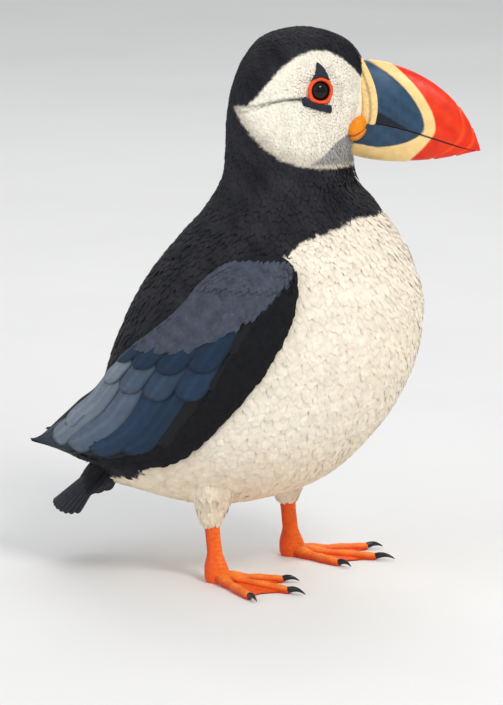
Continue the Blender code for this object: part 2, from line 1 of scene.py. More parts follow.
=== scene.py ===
"""Looks of a life-size Atlantic puffin: skin, plumage, bill, eyes, legs, floor, light and camera.

Shapes are worked out in millimetres in the bird's own axes (x ahead, y to its left, z up).
put_mesh() moves them onto the frame and makes them metres. A place on the body is a station
number from the crown (0) to the tail root (16) and an angle from the ventral line, positive
to the left. A place on a wing is along (0 shoulder, 1 tip) and across (-1 front edge, 1 back
edge). A table of rows is read by between(): its first column is the place, the rest are values.
"""

import math
from collections import namedtuple

import bpy
import numpy as np
from mathutils import Matrix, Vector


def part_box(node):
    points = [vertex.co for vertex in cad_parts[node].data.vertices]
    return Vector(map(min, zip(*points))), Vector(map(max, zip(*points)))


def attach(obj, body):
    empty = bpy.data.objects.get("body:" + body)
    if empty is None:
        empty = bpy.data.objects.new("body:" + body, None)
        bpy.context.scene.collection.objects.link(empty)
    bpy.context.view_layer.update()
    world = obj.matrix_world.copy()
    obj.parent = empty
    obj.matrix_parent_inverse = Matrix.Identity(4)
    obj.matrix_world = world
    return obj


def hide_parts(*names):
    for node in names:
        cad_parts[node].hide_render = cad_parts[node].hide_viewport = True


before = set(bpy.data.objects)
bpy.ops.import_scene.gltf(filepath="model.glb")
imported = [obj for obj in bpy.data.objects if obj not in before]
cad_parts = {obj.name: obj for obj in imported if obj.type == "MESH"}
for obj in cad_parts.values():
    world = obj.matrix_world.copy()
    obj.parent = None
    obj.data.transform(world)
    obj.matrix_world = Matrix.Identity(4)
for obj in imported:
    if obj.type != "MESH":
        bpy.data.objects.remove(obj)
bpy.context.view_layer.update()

MM = 0.001
SIDES = (("left", 1), ("right", -1))
UP = np.array([0.0, 0.0, 1.0])
ASIDE = np.array([0.0, 1.0, 0.0])
LEVEL = np.array([1.0, 1.0, 0.0])

HEAD_TURN = 13.0
TURN_AXIS = np.array([8.0, 0.0, 0.0])
# Stations: dorsal x, dorsal z, ventral x, ventral z, half width, egg, turn in degrees
STATIONS = np.array([
    (17.0, 224.0, 17.0, 224.0, 0.0, 0.10, HEAD_TURN),
    (1.0, 220.5, 33.0, 219.5, 14.0, 0.12, HEAD_TURN),
    (-7.5, 211.5, 41.0, 210.0, 19.5, 0.22, HEAD_TURN),
    (-12.5, 199.0, 43.5, 198.5, 22.0, 0.26, HEAD_TURN),
    (-14.5, 186.5, 42.5, 186.5, 23.5, 0.26, HEAD_TURN),
    (-15.0, 174.5, 38.0, 175.0, 23.0, 0.18, HEAD_TURN),
    (-16.5, 163.0, 38.5, 164.0, 24.5, 0.06, 10.0),
    (-23.0, 151.0, 46.5, 153.0, 31.0, 0.02, 6.0),
    (-33.0, 139.5, 55.0, 142.0, 38.5, 0.0, 2.0),
    (-43.5, 127.0, 62.0, 129.5, 44.0, 0.0, 0.0),
    (-52.0, 114.0, 66.5, 111.0, 47.0, 0.0, 0.0),
    (-58.5, 100.5, 62.5, 87.0, 48.5, 0.0, 0.0),
    (-63.5, 87.0, 48.5, 61.5, 47.5, 0.0, 0.0),
    (-67.0, 74.0, 23.5, 38.5, 43.0, 0.0, 0.0),
    (-70.0, 62.5, -14.0, 27.5, 33.5, 0.0, 0.0),
    (-72.0, 51.5, -49.5, 31.0, 18.0, 0.0, 0.0),
    (-66.5, 36.0, -66.5, 36.0, 0.0, 0.0, 0.0),
])
TAIL_END = 16.0
# Past the body's rows before the flank, a folded wing follows rings of its own, in the same columns
FLANK = 13
WING_STATIONS = np.array([
    (-69.0, 75.0, 21.0, 36.0, 44.0, 0.0, 0.0),
    (-75.5, 68.5, -17.0, 24.0, 38.0, 0.0, 0.0),
    (-83.0, 61.5, -46.5, 27.5, 28.0, 0.0, 0.0),
    (-91.0, 55.5, -69.5, 40.0, 18.0, 0.0, 0.0),
    (-98.5, 51.5, -93.5, 49.0, 10.5, 0.0, 0.0),
])
WING_START = 8.2
WING_TIP = 17.0
# Along the wing at even steps: middle and half span in degrees round the body, bulge in mm
WING_MIDDLE = (90.0, 97.5, 115.0, 130.0, 136.0, 112.0)
WING_HALF_SPAN = (20.0, 24.0, 32.5, 40.0, 31.0, 8.0)
WING_BULGE = (3.2, 4.4, 3.8, 2.6, 1.6, 0.8)
WING_ROUNDING = 0.10
WING_EDGE = 0.9
WING_GAP = 0.6

TAIL_ROOT = np.array([-53.0, 0.0, 50.5])
TAIL_AXIS = math.radians(218.0)
TAIL_BACK = np.array([math.cos(TAIL_AXIS), 0.0, math.sin(TAIL_AXIS)])
TAIL_UP = np.array([TAIL_BACK[2], 0.0, -TAIL_BACK[0]])

BILL_CULMEN = ((40.5, 210.5), (60.0, 210.0), (82.5, 197.5), (88.0, 173.5))
BILL_UNDER = ((37.5, 172.0), (50.0, 168.5), (70.0, 169.0), (86.5, 174.0))
BILL_BULGE = 7.5
BILL_WIDTH = 8.3
BILL_TIP_WIDTH = 1.3
BILL_TAPER = 0.8
MOUTH_HEIGHT = 0.36
MOUTH_DROP = 0.12
MOUTH_GAP = 0.3
RIDGE_START = -0.115

EYE_CENTRE = (24.0, 200.5)
EYE_RADIUS = 5.4
EYE_OUT = 1.1
EYE_RING_RADIUS = 4.75
EYE_RING_TUBE = 0.75
EYE_CLEARING = 5.7
HORN_OUTLINE = ((-3.7, 4.4), (-2.3, 6.8), (-1.3, 11.4), (1.6, 9.0), (3.9, 4.2), (0.3, 5.6))
BAR_OUTLINE = ((-7.8, -3.2), (-6.2, -2.4), (-2.0, -5.4), (4.6, -5.8), (4.4, -9.0), (-6.9, -6.0))
GAPE_CENTRE = (38.5, 184.0)
GAPE_RADII = (5.2, 4.9, 2.9)
GAPE_OFFSET = (-0.3, 0.2, 0.3)
GAPE_TILT = 42.0
GAPE_FOLD = 32.0

LEGS = {
    "right": {"ankle": (-15.0, 24.5, 25.5), "joint": (-12.5, 26.0, 6.3), "heading": -20.0},
    "left": {"ankle": (4.0, 24.5, 25.5), "joint": (5.5, 26.0, 6.3), "heading": 2.0},
}
THIGH_RISE = np.array([1.5, -3.0, 24.0])
THIGH_RADII = ((0.0, 15.5), (0.35, 12.5), (0.7, 8.3), (0.93, 6.0), (1.0, 5.0))
# Down the shank: share of its length, half length and half width of its oval
SHANK_OVALS = ((0.0, 3.4, 2.9), (0.3, 3.1, 2.6), (0.7, 3.2, 2.7), (0.92, 4.2, 3.4), (1.0, 4.4, 3.6))
# Toes: length, splay in degrees, length of the claw
TOES = {"outer": (33.0, 31.0, 7.5), "middle": (35.5, 0.0, 8.5), "inner": (27.0, -31.0, 7.0)}
TOE_RADIUS = (2.9, 2.5, 1.9, 2.1, 1.6)
TOE_HEIGHT = 1.25
TOE_ARCH = 1.5
WEB_THICKNESS = 1.1
WEB_REACH = 0.93
WEB_SCALLOP = 0.13
WEB_LIFT = 0.3
SOLE_STEP = 0.03
CLAW_RADIUS = 1.45
CLAW_RISE = 0.55
CLAW_ARCH = 1.3
CLAW_DROP = 1.4
CLAW_TAPER = 0.86


# ---------------------------------------------------------------- colours

def rgb(red, green, blue):
    """Linear colour from the three bytes of a display colour."""
    share = np.array([red, green, blue]) / 255.0
    return np.where(share <= 0.04045, share / 12.92, ((share + 0.055) / 1.055) ** 2.4)


def mix(first, second, share):
    """The first colour turning into the second as the share goes from 0 to 1."""
    return first + (second - first) * np.asarray(share)[..., None]


BLACK = rgb(25, 26, 32)
SOOT = rgb(54, 54, 60)
WHITE = rgb(246, 237, 219)
CREAM = rgb(240, 223, 196)
CHEEK = rgb(251, 244, 229)
CHEEK_SHADE = rgb(204, 195, 178)
CHEEK_GREY = rgb(146, 145, 146)
BILL_RED = rgb(226, 36, 8)
BILL_ORANGE = rgb(238, 76, 24)
BILL_CREAM = rgb(248, 212, 145)
BILL_SLATE = rgb(43, 71, 96)
BILL_DARK = rgb(20, 24, 31)
GAPE_ORANGE = rgb(240, 142, 10)
GAPE_CREASE_SHADE = rgb(186, 94, 10)
LEG_ORANGE = rgb(246, 98, 16)
LEG_PALE = rgb(253, 138, 44)
LEG_RED = rgb(220, 62, 6)
RING_RED = rgb(234, 82, 32)
PLATE_SLATE = rgb(33, 37, 50)
IRIS_BROWN = rgb(30, 17, 13)
PUPIL_BLACK = rgb(3, 3, 4)
CLAW_BLACK = rgb(30, 30, 35)
TAIL_SLATE = rgb(40, 44, 54)
PANEL_SLATE = rgb(72, 78, 92)
# Pale grey-blue, slate, blue, dark blue, dark slate and black
WING_SHADES = np.array([
    rgb(118, 130, 142), rgb(84, 98, 116), rgb(32, 54, 80), rgb(21, 43, 66), rgb(50, 57, 70), rgb(19, 20, 25),
])


# ---------------------------------------------------------------- lines and values

def grid(down, across):
    """A grid's two parameters: the first changes down its rows, the second across its columns."""
    return np.meshgrid(down, across, indexing="ij")


def round_angles(count, start=0.0):
    """Even angles once round from a start."""
    return np.linspace(start, start + 2 * math.pi, count, endpoint=False)


def between(rows, place, column=1):
    """Value in a table's column at a place in its first column, straight between the rows."""
    table = np.array(rows, float)
    return np.interp(place, table[:, 0], table[:, column])


def spline(rows, place):
    """Catmull-Rom curve through a table's rows, which start and end with a guide row."""
    rows = np.asarray(rows, float)
    place = np.asarray(place, float)
    first = np.clip(np.floor(place).astype(int), 0, len(rows) - 4)
    t = (place - first)[..., None]
    p0, p1, p2, p3 = (rows[first + step] for step in range(4))
    bend = (2 * p0 - 5 * p1 + 4 * p2 - p3) * t ** 2
    twist = (3 * p1 - p0 - 3 * p2 + p3) * t ** 3
    return 0.5 * (2 * p1 + (p2 - p0) * t + bend + twist)


def graded(values, share):
    """Smooth value at a share (0 to 1) of the way along an even row of values."""
    ends = [2 * values[0] - values[1], *values, 2 * values[-1] - values[-2]]
    return spline(np.array(ends)[:, None], np.asarray(share) * (len(values) - 1))[..., 0]


def bezier(points, share):
    """Cubic Bezier curve in the plane, and its straight run before the first point."""
    p0, p1, p2, p3 = (np.array(point) for point in points)
    t = np.maximum(share, 0.0)[..., None]
    curve = p0 * (1 - t) ** 3 + 3 * p1 * t * (1 - t) ** 2 + 3 * p2 * t ** 2 * (1 - t) + p3 * t ** 3
    return curve + 3 * (p1 - p0) * np.minimum(share, 0.0)[..., None]


def smooth_step(low, high, value):
    """Rises from 0 at low to 1 at high with level ends."""
    t = np.clip((value - low) / (high - low), 0, 1)
    return t * t * (3 - 2 * t)


def hump(value, centre, width):
    """Bell curve of height one."""
    return np.exp(-(((value - centre) / width) ** 2))


def ripple(points, size, phase=0.0):
    """Smooth, uneven value from -1 to 1: three crossed sine waves of about one size."""
    x, y, z = np.moveaxis(points / size * 2 * math.pi, -1, 0)
    first = np.sin(x * 0.71 + y * 0.31 + phase) * np.cos(z * 0.83 - y * 0.27 + 1.3 * phase)
    second = np.sin(y * 0.67 + z * 0.41 + 2.1 + phase) * np.cos(x * 0.59 + z * 0.47 - phase)
    return 0.5 * (first + second) + 0.35 * np.sin(x * 1.7 + z * 1.3 + phase) * np.sin(y * 1.9 - z * 1.1)


def unit(vectors):
    """Vectors scaled to length one."""
    return vectors / np.maximum(np.linalg.norm(vectors, axis=-1, keepdims=True), 1e-9)


def dot(a, b):
    """Dot product of rows of vectors, kept as a column."""
    return np.sum(a * b, axis=-1, keepdims=True)


# ---------------------------------------------------------------- surfaces

def over_the_pole(row):
    """The station beyond a pole, where the dorsal and ventral points change places."""
    return row[[2, 3, 0, 1, 4, 5, 6]] * (1, 1, 1, 1, -1, 1, 1)


BODY_TABLE = np.vstack([over_the_pole(STATIONS[1]), STATIONS, over_the_pole(STATIONS[-2])])
WING_TABLE = np.vstack([
    over_the_pole(STATIONS[1]), STATIONS[:FLANK], WING_STATIONS, 2 * WING_STATIONS[-1] - WING_STATIONS[-2],
])


def swung(vectors, degrees):
    """Directions swung to the bird's left about the upright axis."""
    turn = np.radians(degrees)
    x = vectors[..., 0] * np.cos(turn) - vectors[..., 1] * np.sin(turn)
    y = vectors[..., 0] * np.sin(turn) + vectors[..., 1] * np.cos(turn)
    return np.stack([x, y, vectors[..., 2]], axis=-1)


def turned(points, degrees):
    """Points turned to the bird's left about the neck's upright axis."""
    return TURN_AXIS + swung(points - TURN_AXIS, degrees)


def head_local(points):
    """Ahead, aside and height of points in the head's own axes, before the head turns."""
    return np.moveaxis(turned(points, -HEAD_TURN), -1, 0)


def ring_points(table, place, angle):
    """Ring point: profile by the cosine of the angle, width by its sine, then turned with the head."""
    dorsal_x, dorsal_z, ventral_x, ventral_z, width, egg, turn = np.moveaxis(spline(table, place), -1, 0)
    cosine = np.cos(angle)
    x = (dorsal_x + ventral_x) / 2 + (ventral_x - dorsal_x) / 2 * cosine
    z = (dorsal_z + ventral_z) / 2 + (ventral_z - dorsal_z) / 2 * cosine
    y = width * np.sin(angle) * (1 - egg * cosine)
    return turned(np.stack([x, y, z], axis=-1), turn)


def slopes(surface, place, angle, step=2e-3):
    """Slopes of a surface along both of its parameters, by small differences."""
    down = (surface(place + step, angle) - surface(place - step, angle)) / (2 * step)
    around = (surface(place, angle + step) - surface(place, angle - step)) / (2 * step)
    return down, around


def grown_points(table, place, angle, grow):
    """Ring points moved outwards along the normal, which is the cross product of the two slopes."""
    place, angle = np.broadcast_arrays(np.asarray(place, float), np.asarray(angle, float))
    down, around = slopes(lambda *at: ring_points(table, *at), place, angle, 1e-3)
    normal = unit(np.cross(down, around))
    return ring_points(table, place, angle) + normal * np.asarray(grow)[..., None]


def body(place, angle, grow=0.0):
    """The body's outer surface at a station and an angle, moved outwards by grow."""
    return grown_points(BODY_TABLE, place, angle, grow)


def wing_thickness(along, across):
    """A lens: the edge plus the bulge times the root of 1 - across squared, thinning at the shoulder."""
    lens = np.sqrt(np.clip(1 - across ** 2, 0, 1)) * np.sqrt(np.clip(along / WING_ROUNDING, 0, 1))
    return WING_EDGE + graded(WING_BULGE, along) * lens


def wing_surface(side):
    """The outer face of one folded wing: the body's rings, run on to the wing tip, grown by its thickness."""
    def surface(along, across, grow=0.0):
        along, across = np.broadcast_arrays(np.asarray(along, float), np.asarray(across, float))
        rounding = np.sqrt(1 - np.clip(1 - along / WING_ROUNDING, 0, 1) ** 2)
        half = graded(WING_HALF_SPAN, along) * rounding
        angle = np.radians(graded(WING_MIDDLE, along) + half * across)
        place = WING_START + (WING_TIP - WING_START) * along
        return grown_points(WING_TABLE, place, side * angle, WING_GAP + wing_thickness(along, across) + grow)
    return surface


def leg_points(name, side):
    """Top of the thigh, ankle and foot joint of one leg."""
    ankle, joint = (np.array(LEGS[name][spot]) * (1, side, 1) for spot in ("ankle", "joint"))
    return ankle + THIGH_RISE * (1, side, 1), ankle, joint


def thigh_surface(name, side):
    """The feathered thigh: a cone of round level sections from the flank down to the ankle."""
    top, ankle, _ = leg_points(name, side)

    def surface(place, angle, grow=0.0):
        place, angle = np.broadcast_arrays(np.asarray(place, float), np.asarray(angle, float))
        radius = between(THIGH_RADII, place) + grow
        level = np.stack([np.cos(angle), np.sin(angle), np.zeros_like(angle)], axis=-1)
        return top + (ankle - top) * place[..., None] + level * radius[..., None]
    return surface


TAIL_COVERED = 34.0
# Behind the tail root: distance, half width and droop of the tail; distance and thickness of its covered base
TAIL_SHAPE = ((0.0, 9.0, 0.0), (12.0, 14.0, 2.0), (23.0, 18.0, 3.5), (34.0, 20.0, 5.0), (45.0, 20.0, 6.0))
TAIL_THICKNESS = ((0.0, 7.0), (12.0, 7.5), (23.0, 5.0), (34.0, 2.4))


def tail_surface(place, angle, grow=0.0):
    """The feathered base of the tail: flat ovals that droop at both sides by the square of the cosine."""
    place, angle = np.broadcast_arrays(np.asarray(place, float), np.asarray(angle, float))
    run = place * TAIL_COVERED
    wide = (between(TAIL_SHAPE, run) * 0.97 + grow) * np.cos(angle)
    droop = between(TAIL_SHAPE, run, 2) * np.cos(angle) ** 2
    lift = (between(TAIL_THICKNESS, run) + grow) * np.sin(angle) - droop
    return TAIL_ROOT + run[..., None] * TAIL_BACK + wide[..., None] * ASIDE + lift[..., None] * TAIL_UP


# ---------------------------------------------------------------- meshes

def put_mesh(name, points, faces, material, colour=None, maps=None):
    """A smooth mesh object from points in mm and groups of faces, with a colour and map places per point."""
    mesh = bpy.data.meshes.new(name)
    corners = np.concatenate([group.ravel() for group in faces]).astype(np.int32)
    sizes = np.concatenate([np.full(len(group), group.shape[1]) for group in faces])
    starts = np.concatenate([[0], np.cumsum(sizes)[:-1]]).astype(np.int32)
    mesh.vertices.add(len(points))
    mesh.vertices.foreach_set("co", ((points + SHIFT) * MM).astype(np.float32).ravel())
    mesh.loops.add(len(corners))
    mesh.loops.foreach_set("vertex_index", corners)
    mesh.polygons.add(len(starts))
    mesh.polygons.foreach_set("loop_start", starts)
    mesh.update(calc_edges=True)
    mesh.polygons.foreach_set("use_smooth", np.full(len(starts), True))
    if colour is not None:
        layer = mesh.attributes.new("tint", "FLOAT_COLOR", "POINT")
        shade = np.ones((len(points), 4), np.float32)
        shade[:, :3] = np.clip(colour, 0, 1)
        layer.data.foreach_set("color", shade.ravel())
    for map_name, uv in (maps or {}).items():
        layer = mesh.uv_layers.new(name=map_name)
        layer.data.foreach_set("uv", uv[corners].astype(np.float32).ravel())
    mesh.validate()
    piece = bpy.data.objects.new(name, mesh)
    bpy.context.scene.collection.objects.link(piece)
    mesh.materials.append(material)
    return piece


def declare(piece, slot, *nodes):
    """Says what a piece rides on and hides the solids it stands for; its slot is not used."""
    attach(piece, "root")
    if nodes:
        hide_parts(*nodes)


def grid_faces(rows, columns, round_rows=False, round_columns=False):
    """Quads of a grid of points; rows or columns that are round have their last joined to their first."""
    row, column = grid(np.arange(rows - (not round_rows)), np.arange(columns - (not round_columns)))
    below, beside = (row + 1) % rows, (column + 1) % columns
    corners = (row, column), (row, beside), (below, beside), (below, column)
    return np.stack([r * columns + c for r, c in corners], axis=-1).reshape(-1, 4)


def copies(faces, size, count):
    """The same faces over count sets of size points."""
    return (faces[None] + np.arange(count)[:, None, None] * size).reshape(-1, faces.shape[1])


def facing_out(points, groups):
    """Faces turned round if the closed surface has a negative volume."""
    volume = 0.0
    for group in groups:
        corner = points[group]
        for step in range(1, group.shape[1] - 1):
            volume += np.sum(np.cross(corner[:, step], corner[:, step + 1]) * corner[:, 0])
    return groups if volume > 0 else [group[:, ::-1] for group in groups]


def closed_tube(rings):
    """Points and outward faces of closed rings (rows, columns, 3), with a fan at each end."""
    rows, columns = rings.shape[:2]
    points = np.concatenate([rings.reshape(-1, 3), rings[0].mean(0)[None], rings[-1].mean(0)[None]])
    ring = np.arange(columns)
    beside = (ring + 1) % columns
    last = (rows - 1) * columns
    head = np.stack([beside, ring, np.full(columns, rows * columns)], axis=-1)
    tail = np.stack([last + ring, last + beside, np.full(columns, rows * columns + 1)], axis=-1)
    sides = grid_faces(rows, columns, round_columns=True)
    return points, facing_out(points, [sides, np.concatenate([head, tail])])


def capped(shade):
    """Colours of a closed tube's ring points and of its two end points."""
    return np.concatenate([shade.reshape(-1, 3), shade[0, :1], shade[-1, :1]])


def put_tube(name, rings, shade, material, slot, node):
    """One closed tube, coloured at its ring points, that stands for one solid."""
    declare(put_mesh(name, *closed_tube(rings), material, capped(shade)), slot, node)


def round_rings(path, radius, across, squash, columns):
    """Rings round a path: the radius times the cosine across it, squashed, and times the sine upwards."""
    turn = round_angles(columns)
    wide = np.cos(turn) * radius[:, None] * squash
    tall = np.sin(turn) * radius[:, None]
    return path[:, None] + wide[..., None] * across + tall[..., None] * UP


def joined(parts):
    """One set of points and faces from several."""
    points, quads, tris, first = [], [], [], 0
    for part_points, groups in parts:
        points.append(part_points)
        for group in groups:
            (quads if group.shape[1] == 4 else tris).append(group + first)
        first += len(part_points)
    return np.concatenate(points), [np.concatenate(group) for group in (quads, tris) if group]


# ---------------------------------------------------------------- places on the head

def head_frame(side, centre):
    """Axes (columns ahead, up, out) and point of the head's surface abreast of a place in its plane."""
    x, z = centre
    places = np.linspace(1, 5, 500)
    dorsal_x, dorsal_z, ventral_x, ventral_z = spline(BODY_TABLE, places).T[:4]
    cosine = (2 * x - dorsal_x - ventral_x) / (ventral_x - dorsal_x)
    height = (dorsal_z + ventral_z + (ventral_z - dorsal_z) * cosine) / 2
    nearest = np.argmin(np.abs(height - z))
    place, angle = places[nearest], side * math.acos(cosine[nearest])
    surface = body(place, angle)
    outward = body(place, angle, 1.0) - surface
    way = swung(np.array([1.0, 0.0, 0.0]), HEAD_TURN)
    ahead = unit(way - outward * dot(way, outward))
    upward = -side * np.cross(outward, ahead)
    upward = upward if upward[2] > 0 else -upward
    return np.stack([ahead, upward, outward], axis=-1), surface


def placed(frame_axes, local):
    """Local points (ahead, up, out) in a frame on the head."""
    axes, origin = frame_axes
    return local @ axes.T + origin


EYE_FRAMES = {name: head_frame(side, EYE_CENTRE) for name, side in SIDES}
EYE_DEPTH = EYE_OUT - EYE_RADIUS


def frame_shift():
    """From the bird's own axes to the frame: the left eye's solid against its worked-out centre."""
    low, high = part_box("eye_left")
    centre = placed(EYE_FRAMES["left"], np.array([0, 0, EYE_DEPTH]))
    return ((np.array(low) + np.array(high)) / 2 / MM - centre) * LEVEL


SHIFT = frame_shift()


def eye_distance(points):
    """Distance to the nearer eye's centre on the head."""
    centres = np.stack([origin for _, origin in EYE_FRAMES.values()])
    return np.min(np.linalg.norm(points[..., None, :] - centres, axis=-1), axis=-1)


def near_bill_or_eye(points, behind, round_eye):
    """1 at the bill's base and the eyes, 0 beyond a distance behind the bill and one round the eyes."""
    to_bill = smooth_step(behind, 40.0, head_local(points)[0])
    return np.clip(to_bill + smooth_step(round_eye, 6.0, eye_distance(points)), 0, 1)


def in_the_bill(points):
    """True where the bill's base stands on the head."""
    (top_x, top_z), (foot_x, foot_z) = BILL_CULMEN[0], BILL_UNDER[0]
    ahead, aside, height = head_local(points)
    share = np.clip((height - foot_z) / (top_z - foot_z), -1, 2)
    round_ = np.clip(1 - (2 * share - 1) ** 2, 0, 1)
    edge = foot_x - 4.5 + (top_x - foot_x) * share + round_
    wide = np.abs(aside) < BILL_WIDTH * np.sqrt(round_) + 0.2
    return (ahead > edge) & wide & (height > foot_z - 1.0) & (height < top_z)


# ---------------------------------------------------------------- markings

# On the head: ahead and height of the cheek's two edges, the grey wedge's top and the crease behind the eye
CHEEK_TOP = (
    (-10.9, 193.6), (-5.4, 194.8), (-1.0, 198.6), (3.9, 204.2), (8.8, 209.6), (14.3, 213.9),
    (20.9, 216.2), (27.5, 215.6), (32.4, 212.8), (37.5, 208.0), (43.5, 199.0),
)
CHEEK_BOTTOM = (
    (-10.9, 193.6), (-8.2, 189.0), (-3.2, 183.0), (2.2, 177.6), (8.8, 173.4), (15.4, 170.9),
    (24.2, 169.4), (31.0, 168.8), (44.0, 168.8),
)
WEDGE_TOP = ((20.5, 170.8), (25.5, 174.0), (30.7, 179.4), (37.0, 184.0))
CREASE = ((-9.0, 193.8), (-3.0, 194.8), (4.0, 196.2), (10.0, 197.2), (18.0, 197.6))
# On the body: degrees from the ventral line and station of the collar's and the vent's edges
COLLAR = (
    (0, 7.25), (34, 7.15), (50, 7.4), (70, 7.7), (80, 8.2), (86, 9.0),
    (92, 11.0), (97, 13.0), (101, 15.0), (110, 30.0),
)
VENT = ((0, 15.8), (30, 15.7), (53, 15.4), (75, 14.7), (92, 13.8), (110, 13.0))


def cheek_share(points, blur=0.5):
    """How far inside the pale cheek a point is: 0 outside, 1 inside, between its top and bottom curves."""
    ahead, _, height = head_local(points)
    wander = 0.35 * ripple(points, 3.0)
    above = height - between(CHEEK_BOTTOM, ahead) + wander
    below = between(CHEEK_TOP, ahead) - height + wander
    front = smooth_step(-blur, blur, 46.0 - ahead) * smooth_step(-12.0, -10.0, ahead)
    return smooth_step(-blur, blur, above) * smooth_step(-blur, blur, below) * front


def crease_share(points, width):
    """Nearness to the crease that runs back from the eye across the cheek: 1 on it, 0 away from it."""
    ahead, _, height = head_local(points)
    narrow = width * np.interp(ahead, (-9.0, 15.0), (0.5, 1.0))
    ends = smooth_step(18.5, 16.5, ahead) * smooth_step(-9.0, -6.0, ahead)
    return hump(height, between(CREASE, ahead), narrow) * ends


def face_colour(points):
    """The cheek: pale, with painted shade towards its lower edge, a grey wedge below the bill and a crease
    painted dark as shade in its groove.
    """
    ahead, _, height = head_local(points)
    low = smooth_step(9.0, 1.0, height - between(CHEEK_BOTTOM, ahead))
    wedge = smooth_step(0.5, -0.5, height - between(WEDGE_TOP, ahead)) * smooth_step(20.0, 21.5, ahead)
    wedge = wedge * smooth_step(170.0, 171.0, height)
    line = crease_share(points, 0.8) * np.interp(ahead, (-6.0, 14.0), (0.45, 1.0))
    # Painted shade: the cheek darkens towards its lower edge.
    face = mix(CHEEK, CHEEK_SHADE, 0.85 * low)
    face = mix(face, CHEEK_GREY, 0.85 * wedge)
    # Painted shade: the crease is darkened along its groove.
    return mix(face, CHEEK_GREY * 0.2, 0.95 * line)


def painted_low_shade(points):
    """Painted shade on the underside: how far the white coat is darkened towards cream low on the belly and
    thighs.
    """
    return 0.75 * smooth_step(70.0, 35.0, points[..., 2])


def body_colour(place, angle, points):
    """Markings: pale cheeks, black crown, collar and back, white breast and belly, with soft shading."""
    degrees = np.abs(np.degrees(angle))
    wander = 0.06 * ripple(points, 7.0, 1.0)
    behind = smooth_step(-0.05, 0.05, place - between(COLLAR, degrees) + wander)
    before = smooth_step(-0.05, 0.05, between(VENT, degrees) - place + wander)
    mottle = ripple(points, 16.0, 0.4)
    black = mix(BLACK, SOOT, 0.32 + 0.34 * mottle)
    front = smooth_step(66.0, 14.0, degrees) * smooth_step(8.0, 11.0, place)
    # Painted shade: the breast is darker towards cream low down and at its front; the mottle is uneven tone.
    breast = mix(WHITE, CREAM, np.clip(painted_low_shade(points) + 0.35 * front + 0.16 * mottle, 0, 1))
    return mix(mix(black, breast, behind * before), face_colour(points), cheek_share(points) * (place < 7.0))


# ---------------------------------------------------------------- feathers

Roots = namedtuple("Roots", "point along across normal bends steps")


def vane(rows, columns, widths, tip_back):
    """A feather's outline: rows of points along it and a fringe of points between the columns.

    Gives along (0 root to 1 tip) and across (-1 to 1) for each point, with quads and tip triangles.
    Towards the tip the rows curve back by the square of the distance from the shaft.
    """
    across = np.linspace(-1, 1, columns)
    sideways = (np.array(widths)[:, None] * across).ravel()
    round_end = np.repeat(np.linspace(0, 1, len(rows)) ** 4, columns) * np.tile(across ** 2, len(rows))
    along = np.repeat(rows, columns) - tip_back * 0.7 * round_end
    middles = (across[1:] + across[:-1]) / 2
    along = np.concatenate([along, 1 - tip_back * middles ** 2])
    sideways = np.concatenate([sideways, middles * widths[-1] * 0.93])
    last = (len(rows) - 1) * columns + np.arange(columns - 1)
    tips = len(rows) * columns + np.arange(columns - 1)
    fringe = np.stack([tips, last + 1, last], axis=-1)
    return along, sideways, [grid_faces(len(rows), columns)[:, ::-1], fringe]


BODY_VANE = vane((0.0, 0.34, 0.66, 0.91), 5, (0.3, 0.9, 1.0, 0.8), 0.24)
FACE_VANE = vane((0.0, 0.5, 0.86), 3, (0.4, 1.0, 0.85), 0.2)
GOLDEN_RATIO = 0.6180339887
YAW_SPREAD = 0.11
ROLL_SPREAD = 0.05
BAKE_PATCH = 0.003


def scatter(surface, places, spacing, seed, rows=360, columns=240):
    """Even, unordered places on a closed surface: a golden-ratio lattice spread by area over spacing squared.

    Rows of the surface get roots by their share of the whole, and each root's angle is a step of
    the golden ratio on from the last, counted in its row's own share.
    """
    first, last = places
    middle = first + (last - first) * (np.arange(rows) + 0.5) / rows
    place, angle = grid(middle, round_angles(columns, -math.pi) + math.pi / columns)
    area = np.linalg.norm(np.cross(*slopes(surface, place, angle)), axis=-1)
    cell = (last - first) / rows * 2 * math.pi / columns
    weight = area * cell / spacing(place, surface(place, angle)) ** 2
    count = int(weight.sum())
    index = np.arange(count)
    level = (index + 0.5) / count
    per_row = np.cumsum(weight.sum(1)) / weight.sum()
    new_place = np.interp(level, np.concatenate([[0], per_row]), np.linspace(first, last, rows + 1))
    row = np.clip(np.searchsorted(per_row, level), 0, rows - 1)
    within = np.cumsum(weight, axis=1) / weight.sum(1, keepdims=True)
    shake = 0.06 * np.random.default_rng(seed).standard_normal(count) / columns
    share = (index * GOLDEN_RATIO + shake) % 1.0
    column = np.searchsorted((within + np.arange(rows)[:, None]).ravel(), share + row) - row * columns
    column = np.clip(column, 0, columns - 1)
    before = np.where(column > 0, within[row, np.maximum(column - 1, 0)], 0.0)
    part = (share - before) / np.maximum(within[row, column] - before, 1e-9)
    return new_place, -math.pi + 2 * math.pi * (column + np.clip(part, 0, 1)) / columns


def evenly(spacing):
    """One distance between roots everywhere."""
    return lambda place, point: spacing


def tailwards(place, point, down):
    """Lie of feathers that follow the surface's own rows."""
    return down


